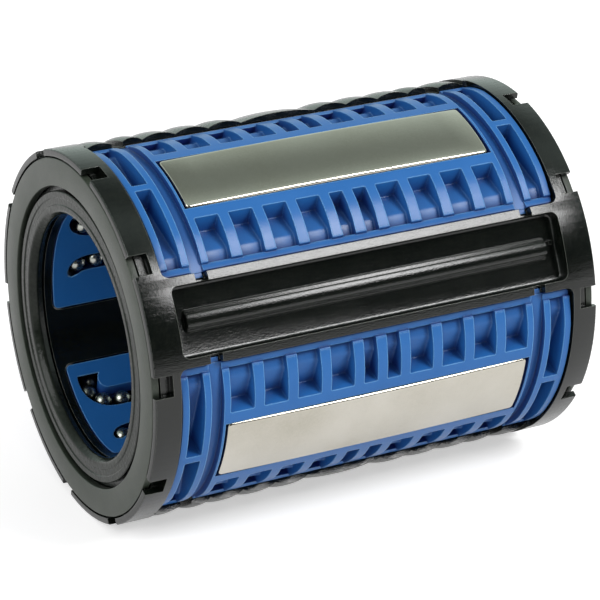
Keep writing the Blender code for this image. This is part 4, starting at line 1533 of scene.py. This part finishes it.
@dataclass
class Segment(Assembly):
    """One self-aligning segment: outer cage, ball retainer, load plate and two ball circuits."""

    number: int = 1
    shapes: SegmentShapes = field(default_factory=SegmentShapes)
    meshes: dict[str, bpy.types.Mesh] = field(default_factory=dict)

    def _set(
        self, name: str, source: bpy.types.Mesh, finish: Finish, body: str, node: str
    ) -> bpy.types.Object:
        """Copies a shared shape and sets it at this segment's place.

        Args:
            name: Name of the piece.
            source: The shape, drawn with the crown at the top.
            finish: The finish that it gets.
            body: The moving body that it rides on.
            node: The CAD node that it stands for.

        Returns:
            The new piece.
        """
        mesh = source.copy()
        mesh.transform(Matrix.Rotation(PLAN.segment_turn(self.number), 4, "X"))
        return self.place(name, mesh, finish, body, [node])

    def _circuit(self, letter: str, side: int) -> list[bpy.types.Object]:
        """Sets the balls of one closed path.

        Args:
            letter: Letter of the circuit in the node names.
            side: 1 for the circuit at +Y, -1 for the other.

        Returns:
            A load row, a return row and both half turns.
        """
        label, path = f"{self.number}{letter}", PLAN.path_matrix(side)
        radius, centre = PLAN.turn_radius, PLAN.turn_centre
        starts = [(place - (BALLS_IN_ROW - 1) / 2) * BALL_PITCH for place in range(BALLS_IN_ROW)]
        pieces = []
        for row, across in (("load", -radius), ("return", radius)):
            mesh = self.shapes.balls([path @ Vector((along, across, 0.0)) for along in starts])
            name, body, node = f"{row}_run_of_balls_{label}", f"{row}_row_{label}", f"{row}_balls_{label}"
            pieces.append(self._set(name, mesh, BALL_STEEL, body, node))
        angles = [(place + 0.5) * math.pi / BALLS_IN_TURN for place in range(BALLS_IN_TURN)]
        half_turn = [(centre + radius * math.sin(angle), -radius * math.cos(angle)) for angle in angles]
        for end in End:
            places = [path @ Vector((end.value * along, across, 0.0)) for along, across in half_turn]
            tag = f"{label}_{end.label}"
            name, body, node = f"turn_of_balls_{tag}", f"end_turn_{tag}", f"turn_balls_{tag}"
            pieces.append(self._set(name, self.shapes.balls(places), BALL_STEEL, body, node))
        return pieces

    def build(self) -> list[bpy.types.Object]:
        """Sets every piece of the segment in its place.

        Returns:
            The mouldings, the plate and the balls.
        """
        kinds = (
            ("cage_moulding", "cage", BLUE_ACETAL, "outer_cage"),
            ("retainer_moulding", "retainer", BLUE_ACETAL, "ball_retainer"),
            ("ground_plate", "plate", GROUND_STEEL, "load_plate"),
        )
        number, body = self.number, f"segment_{self.number}"
        pieces = [
            self._set(f"{name}_{number}", self.meshes[shape], finish, body, f"{node}_{number}")
            for name, shape, finish, node in kinds
        ]
        return pieces + self._circuit("a", 1) + self._circuit("b", -1)


@dataclass(frozen=True)
class Softbox:
    """A square lamp that points at the middle of the bearing."""

    name: str
    place: tuple[float, float, float]
    size: float
    watts: float

    def hang(self) -> None:
        """Puts the lamp into the scene."""
        data = bpy.data.lights.new(self.name, "AREA")
        data.shape = "SQUARE"
        data.size = self.size
        data.energy = self.watts
        lamp = bpy.data.objects.new(self.name, data)
        bpy.context.scene.collection.objects.link(lamp)
        turn = (-Vector(self.place)).to_track_quat("-Z", "Y")
        lamp.matrix_world = Matrix.Translation(self.place) @ turn.to_matrix().to_4x4()


@dataclass
class Studio:
    """Camera, lights, world and floor.

    The limits of the mirrored ceiling, the overhead panel and the room are directions in
    the world: Z for the ceiling, Y for the other two.
    """

    camera_place: tuple[float, float, float] = (-0.20222, -0.39083, 0.18754)
    camera_aim: tuple[float, float, float] = (0.42389, 0.81544, -0.39418)
    lens: float = 170.8
    clip: Span = (0.01, 20.0)
    floor_level: float = -0.031
    floor_size: float = 6.0
    floor_white: float = 0.82
    floor_mottle: float = 0.01
    floor_grain: float = 30.0
    floor_detail: float = 2.0
    floor_roughness: float = 0.9
    floor_glow: float = 0.50
    floor_mirrored: float = 0.30
    fill_level: float = 0.52
    ceiling_level: float = 0.28
    ceiling_limits: Span = (0.50, 0.82)
    overhead_level: float = 0.70
    overhead_limits: Span = (0.28, 0.02)
    room_level: float = 0.03
    room_limits: Span = (-0.10, -0.65)
    room_tint: Colour = (0.85, 1.0, 0.93)
    lamps: tuple[Softbox, ...] = (
        Softbox("key_softbox", (0.46, -0.66, 0.72), 0.38, 7.4),
        Softbox("left_softbox", (-0.85, -0.25, 0.55), 0.60, 4.5),
    )

    def build(self) -> None:
        """Makes everything round the object."""
        self._camera()
        self._world()
        self._floor()
        for lamp in self.lamps:
            lamp.hang()

    def _camera(self) -> None:
        """Sets up the camera at the photograph's angle."""
        data = bpy.data.cameras.new("photo_camera")
        data.lens = self.lens
        data.clip_start, data.clip_end = self.clip
        camera = bpy.data.objects.new("photo_camera", data)
        bpy.context.scene.collection.objects.link(camera)
        turn = Vector(self.camera_aim).to_track_quat("-Z", "Y")
        camera.matrix_world = Matrix.Translation(self.camera_place) @ turn.to_matrix().to_4x4()
        bpy.context.scene.camera = camera

    def _glow(self, graph: Graph) -> bpy.types.NodeSocket:
        """Works out the floor's extra white, where it is seen directly or through glass, or mirrored.

        Args:
            graph: Graph of the floor's material.

        Returns:
            The strength of the emission.
        """
        path = graph.node("ShaderNodeLightPath").outputs
        seen = graph.math("MAXIMUM", path["Is Camera Ray"], path["Is Transmission Ray"])
        mirrored = graph.math("MULTIPLY", path["Is Glossy Ray"], self.floor_mirrored)
        return graph.math("ADD", graph.math("MULTIPLY", seen, self.floor_glow), mirrored)

    def _world(self) -> None:
        """White backdrop all round for the eye. Mirrored, its ceiling and the room in front are darker."""
        world = bpy.data.worlds.new("studio")
        world.use_nodes = True
        bpy.context.scene.world = world
        graph = Graph(world.node_tree)
        background = world.node_tree.nodes["Background"]
        place = graph.node("ShaderNodeTexCoord").outputs["Generated"]
        along = graph.node("ShaderNodeSeparateXYZ", {"Vector": place}).outputs
        ceiling = graph.ramp(along["Z"], self.ceiling_limits, 1.0, self.ceiling_level)
        overhead = graph.ramp(along["Y"], self.overhead_limits, 0.0, self.overhead_level)
        room = graph.ramp(along["Y"], self.room_limits, 1.0, self.room_level)
        mirrored = graph.math("MULTIPLY", graph.math("MAXIMUM", ceiling, overhead), room)
        path = graph.node("ShaderNodeLightPath").outputs
        fill = graph.mix_values(path["Is Glossy Ray"], self.fill_level, mirrored)
        seen = graph.math("MAXIMUM", path["Is Camera Ray"], path["Is Transmission Ray"])
        colour = graph.mix(path["Is Glossy Ray"], (1.0, 1.0, 1.0), self.room_tint)
        graph.feed(background.inputs["Color"], colour)
        graph.feed(background.inputs["Strength"], graph.mix_values(seen, fill, 1.0))

    def _floor(self) -> None:
        """Plain pale floor that the eye sees as white, with the object's shadow on it."""
        work = bmesh.new()
        level = Matrix.Translation((0.0, 0.0, self.floor_level))
        bmesh.ops.create_grid(work, x_segments=1, y_segments=1, size=self.floor_size / 2, matrix=level)
        mesh = bpy.data.meshes.new("floor")
        work.to_mesh(mesh)
        work.free()
        floor = bpy.data.objects.new("floor", mesh)
        bpy.context.scene.collection.objects.link(floor)
        material = bpy.data.materials.new("white_table")
        material.use_nodes = True
        graph = Graph(material.node_tree)
        shader = material.node_tree.nodes["Principled BSDF"]
        darker, lighter = self.floor_white - self.floor_mottle, self.floor_white + self.floor_mottle
        paint = graph.mix(graph.noise(self.floor_grain, self.floor_detail), (darker,) * 3, (lighter,) * 3)
        graph.feed(shader.inputs["Base Color"], paint)
        shader.inputs["Roughness"].default_value = self.floor_roughness
        shader.inputs["Specular IOR Level"].default_value = 0.0
        shader.inputs["Emission Color"].default_value = (1.0, 1.0, 1.0, 1.0)
        graph.feed(shader.inputs["Emission Strength"], self._glow(graph))
        mesh.materials.append(material)


def main() -> None:
    """Builds the studio and every sub-assembly in order."""
    logging.basicConfig(level=logging.INFO, format="%(message)s")
    bpy.context.scene.view_settings.view_transform = "Standard"
    Studio().build()
    shop = Paintshop()
    shapes = SegmentShapes()
    meshes = {"cage": shapes.cage(), "retainer": shapes.retainer(), "plate": shapes.plate()}
    assemblies: list[Assembly] = [Sleeve(shop)] + [EndFitting(shop, end) for end in End]
    assemblies += [Segment(shop, number, shapes, meshes) for number in (1, 2, 3, 4)]
    for assembly in assemblies:
        for piece in assembly.build():
            LOG.info("%s: %d faces", piece.name, len(piece.data.polygons))


if __name__ == "__main__":
    main()
